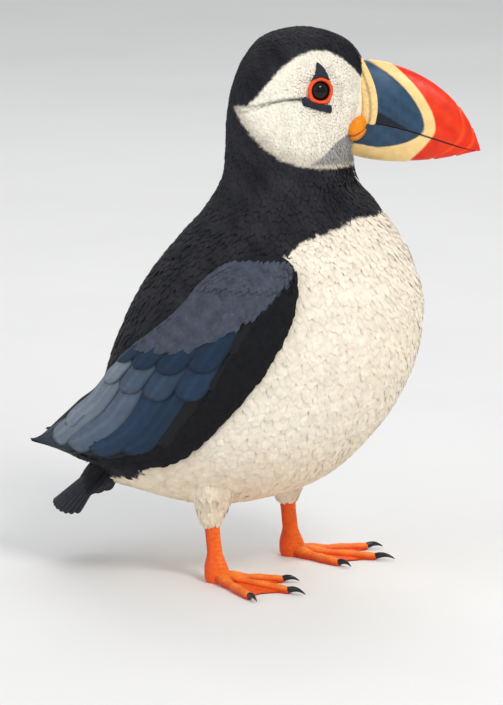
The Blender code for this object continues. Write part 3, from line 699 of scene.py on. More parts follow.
def root_frames(surface, place, angle, heading):
    """Roots of feathers: points, directions along and across, normals, and the surface's bends and steps.

    A bend is how far the normal leans over in one mm along or across. A step is the change of
    place and angle in that mm, by the inverse of the surface's own metric.
    """
    point = surface(place, angle)
    down, around = slopes(surface, place, angle)
    normal = unit(np.cross(down, around))
    wish = heading(place, point, unit(down))
    along = unit(wish - normal * dot(wish, normal))
    across = np.cross(normal, along)
    e, f, g = dot(down, down), dot(down, around), dot(around, around)
    spread = np.maximum(e * g - f * f, 1e-6)
    bends, steps = [], []
    for way in (along, across):
        to_down, to_around = dot(way, down), dot(way, around)
        step_place = ((g * to_down - f * to_around) / spread)[..., 0]
        step_angle = ((e * to_around - f * to_down) / spread)[..., 0]
        beyond = unit(np.cross(*slopes(surface, place + step_place, angle + step_angle)))
        bends.append(np.clip(dot(beyond - normal, way), -0.015, 0.06))
        steps.append((step_place, step_angle))
    return Roots(point, along, across, normal, bends, steps)


def even_bends(roots, bend):
    """Roots whose surface is taken to bend evenly both ways."""
    return roots._replace(bends=[np.full((len(roots.point), 1), bend)] * 2)


def feathers(shape, roots, length, width, depth, seed, sink=0.0, ruffle=0.12):
    """Points of many feathers of one outline, each rising off the skin and lying back along the body.

    Height is the coat's depth times 1-(1-t)^1.8 along the feather, ruffled a little from one
    feather to the next, less its camber, the body's own bend and how far it is sunk.
    """
    t, u, groups = shape
    draw = np.random.default_rng(seed)
    count = len(roots.point)
    deep = np.broadcast_to(depth, count)[:, None]
    yaw = draw.normal(0, YAW_SPREAD, count)[:, None]
    along = roots.along * np.cos(yaw) + roots.across * np.sin(yaw)
    across = roots.across * np.cos(yaw) - roots.along * np.sin(yaw)
    reach = (length * draw.uniform(0.86, 1.14, count))[:, None] * t
    aside = (width * draw.uniform(0.88, 1.12, count))[:, None] * u / 2
    rise = 1 - (1 - np.clip(t, 0, 1)) ** 1.8
    lift = deep * (rise + (ruffle * draw.uniform(-1, 1, count))[:, None] * t)
    roll = draw.normal(0, ROLL_SPREAD, count)[:, None] * aside
    camber = 0.16 * np.abs(aside) * np.abs(u) + 0.05 * length[:, None] * t ** 4
    fall = 0.5 * (roots.bends[0] * reach ** 2 + roots.bends[1] * aside ** 2)
    height = lift + roll - camber - fall - deep - np.reshape(sink, (-1, 1))
    offset = along[:, None] * reach[..., None] + across[:, None] * aside[..., None]
    points = roots.point[:, None] + offset + roots.normal[:, None] * height[..., None]
    faces = [copies(group, len(t), count) for group in groups]
    return points.reshape(-1, 3), faces, np.tile(t, count), np.tile(u, count)


def reached(place, angle, steps, reach, aside):
    """Places and angles that feather points lie over: the roots' steps times reach and aside in mm."""
    per = len(reach) // len(place)
    (place_along, angle_along), (place_across, angle_across) = (
        [np.repeat(step, per) for step in pair] for pair in steps
    )
    place = np.repeat(place, per) + place_along * reach + place_across * aside
    return place, np.repeat(angle, per) + angle_along * reach + angle_across * aside


def tones(count, spread, seed):
    """One brightness for each feather, spread about 1."""
    return 1 + spread * np.random.default_rng(seed).standard_normal(count)


def put_feathers(name, made, colour, material, slot, u_root, v_root):
    """Feathers as one piece: in OFBake each is a small patch at its root's place, in vane its whole self."""
    points, faces, t, u = made
    per = len(t) // len(u_root)
    across = np.repeat(u_root, per) + u * BAKE_PATCH / 2
    down = np.repeat(v_root, per) + (t - 0.5) * BAKE_PATCH
    maps = {"OFBake": np.stack([across, down], axis=-1), "vane": np.stack([u * 0.5 + 0.5, t], axis=-1)}
    declare(put_mesh(name, points, faces, material, colour, maps), slot)


# ---------------------------------------------------------------- coat of the body

HEAD_END = 5.65
FACE_END = 6.0
NECK_END = 8.35
BREAST_END = 10.6
# By station: depth of the coat, distance between roots, length of a feather and its width as a share of that
COAT_DEPTH = ((0, 1.25), (4.5, 1.3), (6.5, 2.0), (8.5, 3.0), (14.5, 3.0), (16, 2.0))
COAT_SPACING = ((0, 0.95), (4.5, 1.0), (6.0, 1.25), (8.5, 1.6), (12.0, 1.7), (16, 1.7))
COAT_LENGTH = ((0, 3.8), (4.5, 4.4), (6.5, 6.5), (8.5, 9.0), (12, 10.5), (15.2, 10.0), (16, 4.5))
COAT_WIDTH = ((0, 0.42), (6.0, 0.42), (9.0, 0.36))


def head_heading(place, point, down):
    """Lie of the coat: back from the bill over the face, then down the neck and body to the tail."""
    back = swung(np.array([-1.0, 0.0, -0.32]), HEAD_TURN)
    face = smooth_step(-16.0, 14.0, head_local(point)[0]) * smooth_step(6.9, 5.2, place)
    return unit(down * (1 - face[:, None]) + back * face[:, None])


def coat_depth(place, point):
    """Depth of the coat: thin round the bill and eyes, deeper over the neck and body."""
    near_bill = smooth_step(26.0, 40.0, head_local(point)[0]) * (place < FACE_END)
    return between(COAT_DEPTH, place) - 0.65 * near_bill


def coat_spacing(place, point):
    """Distance between roots: finest round the bill and eyes, widest on the body."""
    near = near_bill_or_eye(point, 22.0, 16.0) * (place < FACE_END)
    return between(COAT_SPACING, place) - 0.2 * near


def under_the_wing(place, angle):
    """True where a folded wing hides the body well inside its edges."""
    along = (place - WING_START) / (WING_TIP - WING_START)
    inside = np.clip(along, 0, 1)
    middle, half = graded(WING_MIDDLE, inside), graded(WING_HALF_SPAN, inside)
    return (along > 0.06) & (np.abs(np.abs(np.degrees(angle)) - middle) < half - 7.0)


def coat_regions(place, angle):
    """The coat's pieces: name, slot, and which roots belong to each."""
    low = np.abs(np.degrees(angle)) < 90
    head, trunk = place < HEAD_END, place >= NECK_END
    belly = (place >= BREAST_END) & low
    return (
        ("coat_head_front", "head_plumage", head & low),
        ("coat_head_back", "head_plumage", head & ~low),
        ("coat_neck", "black_plumage", ~head & ~trunk),
        ("coat_back", "black_plumage", trunk & ~low),
        ("coat_breast", "body_plumage", trunk & (place < BREAST_END) & low),
        ("coat_belly_left", "body_plumage", belly & (angle >= 0)),
        ("coat_belly_right", "body_plumage", belly & (angle < 0)),
    )


def make_region(name, slot, number, material, place, angle, point):
    """Contour feathers of one region, coloured by where each of their points lies on the body."""
    shape = FACE_VANE if slot == "head_plumage" else BODY_VANE
    on_face = place < FACE_END
    length = between(COAT_LENGTH, place) * (1 - 0.5 * near_bill_or_eye(point, 20.0, 14.0) * on_face)
    width = length * between(COAT_WIDTH, place)
    roots = root_frames(body, place, angle, head_heading)
    sink = 0.8 * crease_share(point, 1.0) * on_face
    calm = smooth_step(100.0, 75.0, np.abs(np.degrees(angle))) * smooth_step(5.5, 7.5, place)
    ruffle = 0.12 - 0.08 * np.maximum(calm, cheek_share(point) * on_face)
    depth = coat_depth(place, point)
    made = feathers(shape, roots, length, width, depth, seed=20 + number, sink=sink, ruffle=ruffle)
    points, _, t, u = made
    per = len(shape[0])
    reach, aside = np.repeat(length, per) * t * 0.8, np.repeat(width, per) * u * 0.4
    spot = 0.2 * np.repeat(point, per, axis=0) + 0.8 * points
    tone = np.repeat(np.clip(tones(len(place), 0.035, seed=40 + number), 0.8, 1.2), per)
    # Painted shade: each feather is darker towards its root, where the feathers over it shade it.
    tone = tone * (0.92 + 0.08 * smooth_step(0.1, 0.8, t))
    colour = body_colour(*reached(place, angle, roots.steps, reach, aside), spot) * tone[:, None]
    u_root, v_root = angle / (2 * math.pi) + 0.5, place / TAIL_END * 0.96 + 0.02
    put_feathers(name, made, colour, material, slot, u_root, v_root)


def make_coat(material):
    """Contour feathers over the whole body but for the eyes, the bill and what the wings hide."""
    place, angle = scatter(body, (0.02, 15.97), coat_spacing, seed=11)
    point = body(place, angle)
    keep = ~under_the_wing(place, angle) & (eye_distance(point) > EYE_CLEARING) & ~in_the_bill(point)
    place, angle, point = place[keep], angle[keep], point[keep]
    for number, (name, slot, chosen) in enumerate(coat_regions(place, angle)):
        make_region(name, slot, number, material, place[chosen], angle[chosen], point[chosen])


# ---------------------------------------------------------------- quills

QUILL_T = (1 - (1 - np.linspace(0, 1, 15)) ** 1.5)[None, :, None]
QUILL_U = np.linspace(-1, 1, 9)[None, None, :]
# Wing quills: root along, root across, tip along, tip across, width, level and shade
MEDIANS = (
    (0.24, 1.00, 0.392, 0.84, 13.5, 0.35, 0.58),
    (0.22, 0.66, 0.384, 0.46, 13.5, 0.27, 0.58),
    (0.20, 0.28, 0.372, 0.08, 13.5, 0.19, 0.59),
    (0.17, -0.04, 0.345, -0.26, 13.5, 0.11, 0.60),
    (0.14, -0.32, 0.290, -0.54, 11.5, -0.02, 1.00),
)
COVERTS = (
    (0.28, 0.98, 0.472, 0.66, 14.0, -0.10, 0.02),
    (0.27, 0.60, 0.462, 0.26, 14.0, -0.20, 0.27),
    (0.25, 0.24, 0.446, -0.10, 14.0, -0.30, 0.36),
    (0.22, -0.10, 0.418, -0.42, 14.0, -0.40, 0.42),
    (0.20, -0.36, 0.380, -0.62, 12.5, -0.55, 1.00),
    (0.16, -0.52, 0.330, -0.78, 12.0, -0.60, 1.00),
)
SECONDARIES = (
    (0.36, 0.98, 0.735, 0.14, 12.5, -0.34, 0.03),
    (0.34, 0.80, 0.835, -0.18, 14.0, -0.46, 0.07),
    (0.34, 0.46, 0.765, -0.46, 14.0, -0.56, 0.20),
    (0.33, 0.12, 0.688, -0.56, 13.0, -0.66, 0.42),
    (0.32, -0.14, 0.610, -0.62, 12.0, -0.76, 0.55),
    (0.30, -0.36, 0.540, -0.74, 12.0, -0.84, 1.00),
    (0.27, -0.54, 0.470, -0.84, 11.0, -0.88, 1.00),
)
PRIMARIES = (
    (0.46, -0.62, 0.700, -0.88, 10.0, -0.90, 1.00),
    (0.48, -0.54, 0.760, -0.86, 10.0, -0.94, 0.98),
    (0.50, -0.46, 0.815, -0.82, 10.0, -0.98, 0.95),
    (0.52, -0.38, 0.865, -0.76, 10.0, -1.02, 0.91),
    (0.54, -0.30, 0.915, -0.62, 10.0, -1.06, 0.87),
    (0.56, -0.20, 0.955, -0.36, 10.5, -1.10, 0.84),
    (0.58, 0.00, 0.985, 0.10, 11.0, -1.14, 0.81),
    (0.58, 0.28, 0.935, 0.40, 9.0, -1.18, 0.81),
)
QUILL_NARROWEST = 9.0


def shade_colour(shade):
    """Wing colour from the first shade (0) to the last (1), straight between neighbours."""
    at = np.clip(shade, 0, 1) * (len(WING_SHADES) - 1)
    low = np.minimum(at.astype(int), len(WING_SHADES) - 2)
    return mix(WING_SHADES[low], WING_SHADES[low + 1], at - low)


def put_quills(name, points, colour, material, slot, turned_over=False):
    """A row of quills (quill, along, across, 3) as one piece: each has a strip of OFBake and all of vane."""
    count, rows, columns = points.shape[:3]
    quill, t, u = np.broadcast_arrays(np.arange(count)[:, None, None], QUILL_T, QUILL_U)
    maps = {
        "OFBake": np.stack([(quill + 0.5 + 0.44 * u) / count, 0.03 + 0.94 * t], axis=-1).reshape(-1, 2),
        "vane": np.stack([u * 0.5 + 0.5, t], axis=-1).reshape(-1, 2),
    }
    faces = copies(grid_faces(rows, columns), rows * columns, count)
    faces = faces[:, ::-1] if turned_over else faces
    piece = put_mesh(name, points.reshape(-1, 3), [faces], material, colour.reshape(-1, 3), maps)
    declare(piece, slot)


# ---------------------------------------------------------------- wings

# On the wing: across and along of the panel's lower edge and of its slate part, along and across of
# the dark front edge, and along and lift of the small coverts
PANEL_EDGE = (
    (-1.0, 0.0), (-0.86, 0.075), (-0.55, 0.16), (-0.28, 0.215),
    (0.07, 0.285), (0.45, 0.318), (0.77, 0.33), (1.0, 0.335),
)
SLATE_SIDE = ((-1.0, 0.0), (-0.86, 0.075), (-0.55, 0.16), (-0.35, 0.21), (-0.2, 0.40), (1.0, 0.45))
DARK_EDGE = (
    (0.1, -0.80), (0.2, -0.50), (0.3, -0.52), (0.40, -0.64), (0.47, -0.69), (0.55, -0.74), (0.75, -0.86),
)
COVERT_LIFT = ((0.3, 0.35), (0.5, -0.6), (0.76, -0.8))
COVERT_LENGTH = ((0, 4.6), (0.1, 6.0), (0.35, 7.0), (0.6, 8.0))
COVERT_REACH = 0.985
FREE_ACROSS = 0.9


def within_the_wing(along, across):
    """Across kept near the wing's edges by a falling exponential past FREE_ACROSS, looser at the tip."""
    room = 0.12 + 1.1 * smooth_step(0.86, 1.0, along)
    size = np.abs(across)
    over = np.maximum(size - FREE_ACROSS, 0)
    return np.sign(across) * (np.minimum(size, FREE_ACROSS) + room * (1 - np.exp(-over / room)))


def make_quills(name, side, table, surface, material, sharpness):
    """Wing feathers of one row: each runs from its root to its tip over the wing and lies over the next.

    The tip is an ellipse sharpness times as long as half the feather's width. The height rises
    from the root by a power of 1-t, slopes across, and has a raised shaft and fine barbs.
    """
    root_along, root_across, tip_along, tip_across, width, level, shade = np.array(table).T[..., None, None]
    t, u = QUILL_T, QUILL_U
    run = np.linalg.norm(surface(tip_along, tip_across) - surface(root_along, root_across), axis=-1)
    tip = sharpness * width / 2 / run
    taper = np.sqrt(1 - np.clip((t - 1 + tip) / tip, 0, 0.985) ** 2)
    half = width / 2 * (0.6 + 0.4 * smooth_step(0.0, 0.35, t)) * taper
    along = root_along + (tip_along - root_along) * t
    centre = root_across + (tip_across - root_across) * t
    inner = np.clip(centre, -0.97, 0.97)
    metric = np.linalg.norm(surface(along, inner + 0.02) - surface(along, inner - 0.02), axis=-1) / 0.04
    across = within_the_wing(along, centre + u * half / np.maximum(metric, QUILL_NARROWEST))
    barbs = 0.04 * np.sin(t * 80.0 + np.abs(u) * 9.0)
    shaft = 0.22 * hump(u, 0.0, 0.10)
    grow = level - 1.1 * (1 - t) ** 1.4 - 0.12 * u + shaft + barbs - 0.35 * u ** 2
    points = surface(along, across, grow)
    rim = np.clip(smooth_step(0.78, 1.0, np.abs(u)) * 0.55 + smooth_step(0.95, 1.0, t) * 0.6, 0, 0.75)
    # Painted highlight: the blue and grey quills are lighter in a streak along the shaft.
    tone = (1 - rim) * (1 + 0.12 * ripple(points, 5.0) + 0.3 * hump(u, 0.0, 0.07) * (shade < 0.9))
    put_quills(name, points, shade_colour(shade) * tone[..., None], material, "wing_plumage", side > 0)


def covert_patch(surface):
    """The part of a wing under its small coverts: an angle of -pi to pi stands for the place across."""
    def patch(place, angle, grow=0.0):
        return surface(place, angle / math.pi * COVERT_REACH, grow + between(COVERT_LIFT, place))
    return patch


def covert_lie(patch):
    """Lie of the small coverts: straight back at the shoulder, then along the wing."""
    def lie(place, point, down):
        middle = np.maximum(place, 0.06)
        straight = unit(patch(middle + 0.02, 0.0) - patch(middle - 0.02, 0.0))
        share = smooth_step(0.02, 0.16, place)[:, None]
        return straight * (1 - share) + down * share
    return lie


def make_lesser_coverts(name, side, surface, material):
    """Small feathers over the shoulder and front edge: slate inside the panel's curve, black outside."""
    patch = covert_patch(surface)
    lie = covert_lie(patch)
    along, angle = scatter(patch, (0.03, 0.76), evenly(1.3), seed=70, rows=240, columns=160)
    across = angle / math.pi * COVERT_REACH
    length = between(COVERT_LENGTH, along)
    step_along, step_angle = root_frames(patch, along, angle, lie).steps[0]
    tip_along, tip_across = along + step_along * length, across + step_angle * length / math.pi
    on_panel = tip_along < between(PANEL_EDGE, tip_across) + 0.012
    keep = (on_panel | (tip_across < between(DARK_EDGE, tip_along))) & ((across < 0.88) | (along > 0.1))
    along, angle, across, length = along[keep], angle[keep], across[keep], length[keep]
    roots = root_frames(patch, along, angle, lie)
    hand = np.sign(roots.normal[:, 1:2] * side)
    over = even_bends(roots._replace(across=roots.across * hand, normal=roots.normal * hand), 0.006)
    made = feathers(BODY_VANE, over, length, length * 0.42, depth=0.62, seed=71)
    points, _, t, u = made
    per = len(BODY_VANE[0])
    reach, aside = np.repeat(length, per) * t * 0.9, np.repeat(length, per) * 0.21 * u * hand[0, 0]
    at_along, at_angle = reached(along, across * math.pi, roots.steps, reach, aside)
    panel = smooth_step(-0.003, 0.003, between(SLATE_SIDE, at_angle / math.pi) - at_along)
    tone = np.repeat(tones(len(along), 0.06, seed=72), per) * (1 - 0.12 * smooth_step(0.8, 1.0, t))
    tone = tone + 0.16 * ripple(points, 7.0) * (0.4 + panel)
    colour = mix(WING_SHADES[-1], PANEL_SLATE, panel) * tone[:, None]
    put_feathers(name, made, colour, material, "wing_plumage", 0.5 + across * 0.47, 0.02 + along * 0.96)


def make_wings(quill, plumage):
    """Both folded wings, row by row from the quills at the bottom to the small coverts on top."""
    for name, side in SIDES:
        surface = wing_surface(side)
        for row, table, sharpness in (
            ("primaries", PRIMARIES, 1.3), ("secondaries", SECONDARIES, 1.15),
            ("greater_coverts", COVERTS, 0.95), ("median_coverts", MEDIANS, 0.85),
        ):
            make_quills(f"wing_{row}_{name}", side, table, surface, quill, sharpness)
        make_lesser_coverts(f"wing_lesser_coverts_{name}", side, surface, plumage)


# ---------------------------------------------------------------- tail

TAIL_PAIRS = 8
TAIL_LENGTHS = (44.5, 44.2, 43.6, 42.8, 41.6, 40.0, 38.0, 35.5)
TAIL_FAN = 0.052
TAIL_QUILL_HALF = 4.9


def make_tail(material):
    """Tail quills fanned from the root over a roof-shaped curve, the middle pair on top.

    The roof falls by the droop times the square of the share of half the tail's width.
    """
    t, u = QUILL_T, QUILL_U
    number = np.arange(2 * TAIL_PAIRS)[:, None, None]
    rank, hand = number // 2, np.where(number % 2 == 0, 1.0, -1.0)
    length = np.array(TAIL_LENGTHS)[rank]
    fan = hand * (rank + 0.42) * TAIL_FAN
    taper = np.sqrt(1 - np.clip((t - 0.86) / 0.14, 0, 0.985) ** 2)
    half = TAIL_QUILL_HALF * (0.5 + 0.5 * smooth_step(0, 0.4, t)) * taper
    aside = hand * (0.8 + rank * 0.75) + np.sin(fan) * t * length + u * half
    run = np.cos(fan) * t * length
    out = np.clip(np.abs(aside) / between(TAIL_SHAPE, run), 0, 1.25)
    roof = between(TAIL_SHAPE, run, 2) * 1.5 * out ** 2
    lift = 1.6 * (1 - t) + 1.6 - roof - rank * 0.24 + 0.2 * hump(u, 0, 0.12) - 0.12 * u * hand
    points = TAIL_ROOT + run[..., None] * TAIL_BACK + aside[..., None] * ASIDE + lift[..., None] * TAIL_UP
    rim = smooth_step(0.75, 1.0, np.abs(u)) * 0.5 + 0.25 * ripple(points, 6.0)
    put_quills("tail_quills", points, TAIL_SLATE * (1 - rim)[..., None], material, "black_plumage")


def make_tail_coverts(material):
    """Black feathers over and under the base of the tail."""
    place, angle = scatter(tail_surface, (0.02, 0.5), evenly(1.3), seed=80, rows=80, columns=120)
    roots = even_bends(root_frames(tail_surface, place, angle, tailwards), 0.008)
    length = np.interp(place, (0, 0.5), (7.5, 9.5))
    made = feathers(BODY_VANE, roots, length, length * 0.36, depth=1.2, seed=81)
    t = made[2]
    # Painted shade: each feather is darker towards its root, where others cover it.
    tone = np.repeat(tones(len(place), 0.08, seed=82), len(BODY_VANE[0])) * (0.9 + 0.1 * t)
    colour = mix(BLACK, SOOT, 0.4) * tone[:, None]
    put_feathers("coat_tail", made, colour, material, "black_plumage", angle / (2 * math.pi) + 0.5, place)


# ---------------------------------------------------------------- skin and thighs

SKIN_VOXEL = 1.5
WING_FLESH_TOP = -1.75
LEG_TOP = 44.0
LEG_BACK = -25.0


def body_shell():
    """The body's surface lying inside the coat by the coat's depth, closed at both poles."""
    place, angle = grid(np.linspace(0.12, 15.85, 130), round_angles(96, -math.pi))
    return closed_tube(body(place, angle, -coat_depth(place, body(place, angle))))


def wing_shell(side):
    """The wing's flesh: a closed lens under its feathers, thinner than the solid all round."""
    along, turn = grid(np.linspace(0.012, 0.985, 60), round_angles(40))
    across = np.cos(turn) * 0.93
    bottom = 0.1 - wing_thickness(along, across)
    reach = np.maximum((WING_FLESH_TOP - bottom) / 2, 0.12)
    grow = (WING_FLESH_TOP + bottom) / 2 + reach * np.sin(turn)
    return closed_tube(wing_surface(side)(along, across, grow))


def thigh_shell(name, side):
    """The thigh's flesh inside its feathers."""
    place, angle = grid(np.linspace(0.0, 1.0, 24), round_angles(36))
    return closed_tube(thigh_surface(name, side)(place, angle, -1.6))


def tail_shell():
    """The fleshy root of the tail: ovals that widen evenly and thin out by the square of the share behind."""
    share, turn = grid(np.linspace(0, 1, 14), round_angles(32))
    wide = np.cos(turn) * (7.5 + 4.5 * share)
    tall = -np.sin(turn) * (6.0 * (1 - share ** 2) + 0.9)
    centre = TAIL_ROOT + TAIL_BACK * (share * 26.0)[..., None]
    return closed_tube(centre + wide[..., None] * ASIDE + tall[..., None] * TAIL_UP)


def merged(parts, material):
    """Closed shells run together into one even skin and smoothed: its points and quads."""
    rough = put_mesh("rough_skin", *joined(parts), material)
    remesh = rough.modifiers.new("merge", "REMESH")
    remesh.mode, remesh.voxel_size = "VOXEL", SKIN_VOXEL * MM
    relax = rough.modifiers.new("relax", "SMOOTH")
    relax.factor, relax.iterations = 0.5, 6
    bpy.context.view_layer.update()
    mesh = rough.evaluated_get(bpy.context.evaluated_depsgraph_get()).to_mesh()
    points = np.zeros(len(mesh.vertices) * 3)
    mesh.vertices.foreach_get("co", points)
    quads = np.zeros(len(mesh.polygons) * 4, np.int32)
    mesh.polygons.foreach_get("vertices", quads)
    bpy.data.objects.remove(rough, do_unlink=True)
    return points.reshape(-1, 3) / MM - SHIFT, quads.reshape(-1, 4)


def nearest_on_body(points):
    """Station and angle of the body's surface point nearest to each point."""
    place, angle = grid(np.linspace(0.1, 15.9, 200), round_angles(150, -math.pi))
    place, angle = place.ravel(), angle.ravel()
    sample = body(place, angle, -2.0).astype(np.float32)
    length = np.sum(sample ** 2, axis=1)
    blocks = np.array_split(points.astype(np.float32), max(1, len(points) // 1500))
    found = np.concatenate([np.argmin(length - 2 * block @ sample.T, axis=1) for block in blocks])
    return place[found], angle[found]


def make_skin(material):
    """One skin over head, neck, trunk, thighs, wings and tail root, merged and smoothed."""
    thighs = [thigh_shell(name, side) for name, side in SIDES]
    points, quads = merged([body_shell(), tail_shell(), *thighs], material)
    colour = body_colour(*nearest_on_body(points), points)
    colour[(points[:, 2] < LEG_TOP) & (points[:, 0] > LEG_BACK)] = WHITE
    whole, faces = joined([(points, [quads]), *(wing_shell(side) for _, side in SIDES)])
    colour = np.concatenate([colour, np.tile(BLACK * 1.2, (len(whole) - len(points), 1))])
    skin = put_mesh("skin", whole, faces, material, colour)
    limbs = [f"{part}_{name}" for part in ("wing", "thigh") for name, _ in SIDES]
    declare(skin, "body_plumage", "head", "neck", "trunk", "tail", *limbs)


def make_thigh_coats(material):
    """Soft feathers down both thighs, ending in a ragged edge over the shanks."""
    for number, (name, side) in enumerate(SIDES):
        surface = thigh_surface(name, side)
        place, angle = scatter(surface, (0.22, 0.985), evenly(1.15), seed=90 + number, rows=80, columns=80)
        roots = even_bends(root_frames(surface, place, angle, tailwards), 0.0)
        length = between(((0.2, 8.0), (0.8, 6.0), (1.0, 4.6)), place)
        depth = between(((0.2, 2.2), (0.9, 1.6), (1.0, 1.0)), place)
        made = feathers(BODY_VANE, roots, length, length * 0.36, depth, seed=92 + number, ruffle=0.06)
        t = made[2]
        tone = np.clip(tones(len(place), 0.05, seed=95), 0.85, 1.1)
        # Painted shade: creamier low down, and each feather darker towards its root, where others cover it.
        shade = mix(WHITE, CREAM, painted_low_shade(roots.point)) * tone[:, None]
        colour = np.repeat(shade, len(BODY_VANE[0]), axis=0) * (0.88 + 0.12 * t)[:, None]
        u_root = angle / (2 * math.pi) + 0.5
        put_feathers(f"coat_thigh_{name}", made, colour, material, "body_plumage", u_root, place)


# ---------------------------------------------------------------- bill

GROOVES = ((0.72, 0.10), (0.86, 0.06))
BAND_MIDDLE = -0.2
SLATE_FOOT = -0.76
BILL_RUN = 45.0
BILL_RISE = 19.0
RIDGE_WAIST = -0.06


def slate_edge(height):
    """Front edge of the slate plate: a quarter ellipse below its widest height, a power curve above."""
    below = np.clip((BAND_MIDDLE - height) / (BAND_MIDDLE - SLATE_FOOT), 0, 1)
    above = np.clip((height - BAND_MIDDLE) / (1 - BAND_MIDDLE), 0, 1)
    return 0.44 * np.sqrt(1 - below ** 2) - 0.41 * above ** 1.6 - 0.25 * smooth_step(0.96, 1.0, below)


def band_edge(height):
    """Front edge of the cream band, which borders the slate plate and runs back below it."""
    below = np.clip((BAND_MIDDLE - height) / (1 + BAND_MIDDLE), 0, 1)
    above = np.clip((height - BAND_MIDDLE) / (1 - BAND_MIDDLE), 0, 1)
    return 0.535 - 0.07 * below ** 1.5 - 0.335 * above ** 1.7


def groove_lines(height):
    """Places along the bill of its grooves, which bow forward by the square of the height."""
    return [place + lean * (0.5 - (height - 0.1) ** 2) for place, lean in GROOVES]


def past_edge(edge, along, height):
    """Distance in mm past an edge curve, its offset along the bill shortened by the curve's slope."""
    slope = (edge(height + 0.01) - edge(height - 0.01)) / 0.02
    return BILL_RUN * (along - edge(height)) / np.sqrt(1 + (slope * BILL_RUN / BILL_RISE) ** 2)


def mouth_height(along):
    """Height of the mouth line between the bill's edges: -1 lower edge, 1 culmen."""
    return 2 * (MOUTH_HEIGHT - MOUTH_DROP * np.clip(along, 0, 1) ** 2) - 1


def bill_points(along, height, side):
    """Side of the bill: along 0 base to 1 tip, height -1 lower edge to 1 culmen, widest at the mouth."""
    top, bottom = bezier(BILL_CULMEN, along), bezier(BILL_UNDER, along)
    flat = bottom + (top - bottom) * ((height + 1) / 2)[..., None]
    left = 1 - np.clip(along, 0, 1)
    bulge = BILL_BULGE * (1 - height ** 2) * left
    mouth = mouth_height(along)
    rise = np.where(height > mouth, (height - mouth) / (1 - mouth), (mouth - height) / (1 + mouth))
    full = BILL_TIP_WIDTH + (BILL_WIDTH - BILL_TIP_WIDTH) * left ** BILL_TAPER
    width = full * np.sqrt(np.clip(1 - np.clip(rise, 0, 1) ** 2, 0, 1))
    return np.stack([flat[..., 0] + bulge, side * width, flat[..., 1]], axis=-1)


def bill_grid(places, upper, relief):
    """Rings of one half of the bill, from the right mouth edge over the ridge line to the left one."""
    along, arc = grid(places, np.linspace(-1, 1, 121))
    slit = MOUTH_GAP / np.linalg.norm(bezier(BILL_CULMEN, along) - bezier(BILL_UNDER, along), axis=-1)
    mouth = mouth_height(along)
    climb = np.cos(arc * math.pi / 2)
    rising = mouth + slit + (1 - mouth - slit) * climb
    falling = mouth - slit - (1 + mouth - slit) * climb
    height = rising if upper else falling
    points = bill_points(along, height, np.sign(arc))
    outward = unit((points - points.mean(axis=1, keepdims=True)) * (0, 1, 1))
    grown = points + outward * relief(along, height)[..., None]
    return turned(grown, HEAD_TURN), along, height


def horn_relief(along, height):
    """Slate plate sunk, cream band raised with its two edges, and curved grooves in the red tip."""
    inner, outer = slate_edge(height), band_edge(height)
    band = smooth_step(-0.012, 0.012, along - inner) * smooth_step(-0.012, 0.012, outer - along)
    relief = 0.34 * band - 0.10 * (along < inner)
    for line in groove_lines(height):
        relief = relief - 0.42 * hump(along, line, 0.013) + 0.16 * hump(along, line + 0.035, 0.02)
    lips = smooth_step(0.0, 0.12, np.abs(height - mouth_height(along)))
    return relief * smooth_step(1.0, 0.93, along) * lips


def horn_colour(along, height, points):
    """Slate base, cream-yellow band and red tip, with paler grooves and a dark mouth line."""
    past_slate = past_edge(slate_edge, along, height + 0.008 * ripple(points, 4.0))
    past_band = past_edge(band_edge, along, height + 0.008 * ripple(points, 5.0, 2.0))
    red = mix(BILL_RED, BILL_ORANGE, np.clip(0.25 + 0.3 * ripple(points, 9.0), 0, 1))
    for line in groove_lines(height):
        red = mix(red, BILL_ORANGE * 1.25, 0.75 * hump(along, line + 0.006, 0.016))
    # Painted light: the slate plate is lighter towards the culmen and darker towards the mouth.
    tone = 1.1 + 0.22 * ripple(points, 6.0, 1.0) + 0.5 * np.clip(height - 0.4, -0.3, 0.35)
    colour = mix(BILL_CREAM, red, smooth_step(-0.35, 0.35, past_band))
    colour = mix(colour, BILL_SLATE * tone[..., None], smooth_step(0.35, -0.35, past_slate))
    mouth = height - mouth_height(along)
    wedge = smooth_step(0.27, 0.23, np.abs(mouth) + 0.7 * along) * (mouth > 0) * 0.95
    line = smooth_step(0.035, 0.012, np.abs(mouth)) * 0.8
    return mix(colour, BILL_DARK, np.clip(wedge + line, 0, 0.95))


def ridge_relief(along, height):
    """Swelling of the ridge: a sine's power over its run, a knob on top, a crossed grain and a waist."""
    crest = np.sin(np.clip((along - RIDGE_START) / -RIDGE_START, 0, 1) * math.pi) ** 0.7
    knob = 0.8 * smooth_step(0.9, 1.0, height)
    grain = 0.10 * np.sin(height * 90.0) * np.sin(along * 260.0)
    return 0.3 + (0.75 + knob + grain) * crest - 0.35 * hump(along, RIDGE_WAIST, 0.012)


def make_bill(horn, ridge_skin):
    """Upper and lower bill with bands and grooves, and the granular ridge round the upper base."""
    steps = np.sin(np.linspace(0, 1, 130) * math.pi / 2) ** 0.9
    halves = (("bill_upper", True, -0.02, 0.992), ("bill_lower", False, RIDGE_START, 0.978))
    for name, upper, start, end in halves:
        rings, along, height = bill_grid(start + (end - start) * steps, upper, horn_relief)
        put_tube(f"{name}_horn", rings, horn_colour(along, height, rings), horn, "bill_horn", name)
    rings, along, _ = bill_grid(np.linspace(RIDGE_START, 0.0, 22), True, ridge_relief)
    # Painted shade: the ridge is darker in its waist's groove.
    tone = 1 - 0.5 * hump(along, RIDGE_WAIST, 0.012) + 0.08 * ripple(rings, 2.0)
    put_tube("bill_base_ridge", rings, BILL_CREAM * tone[..., None], ridge_skin, "bill_ridge", "bill_ridge")


# ---------------------------------------------------------------- face

PLATE_ROUNDING = 0.45
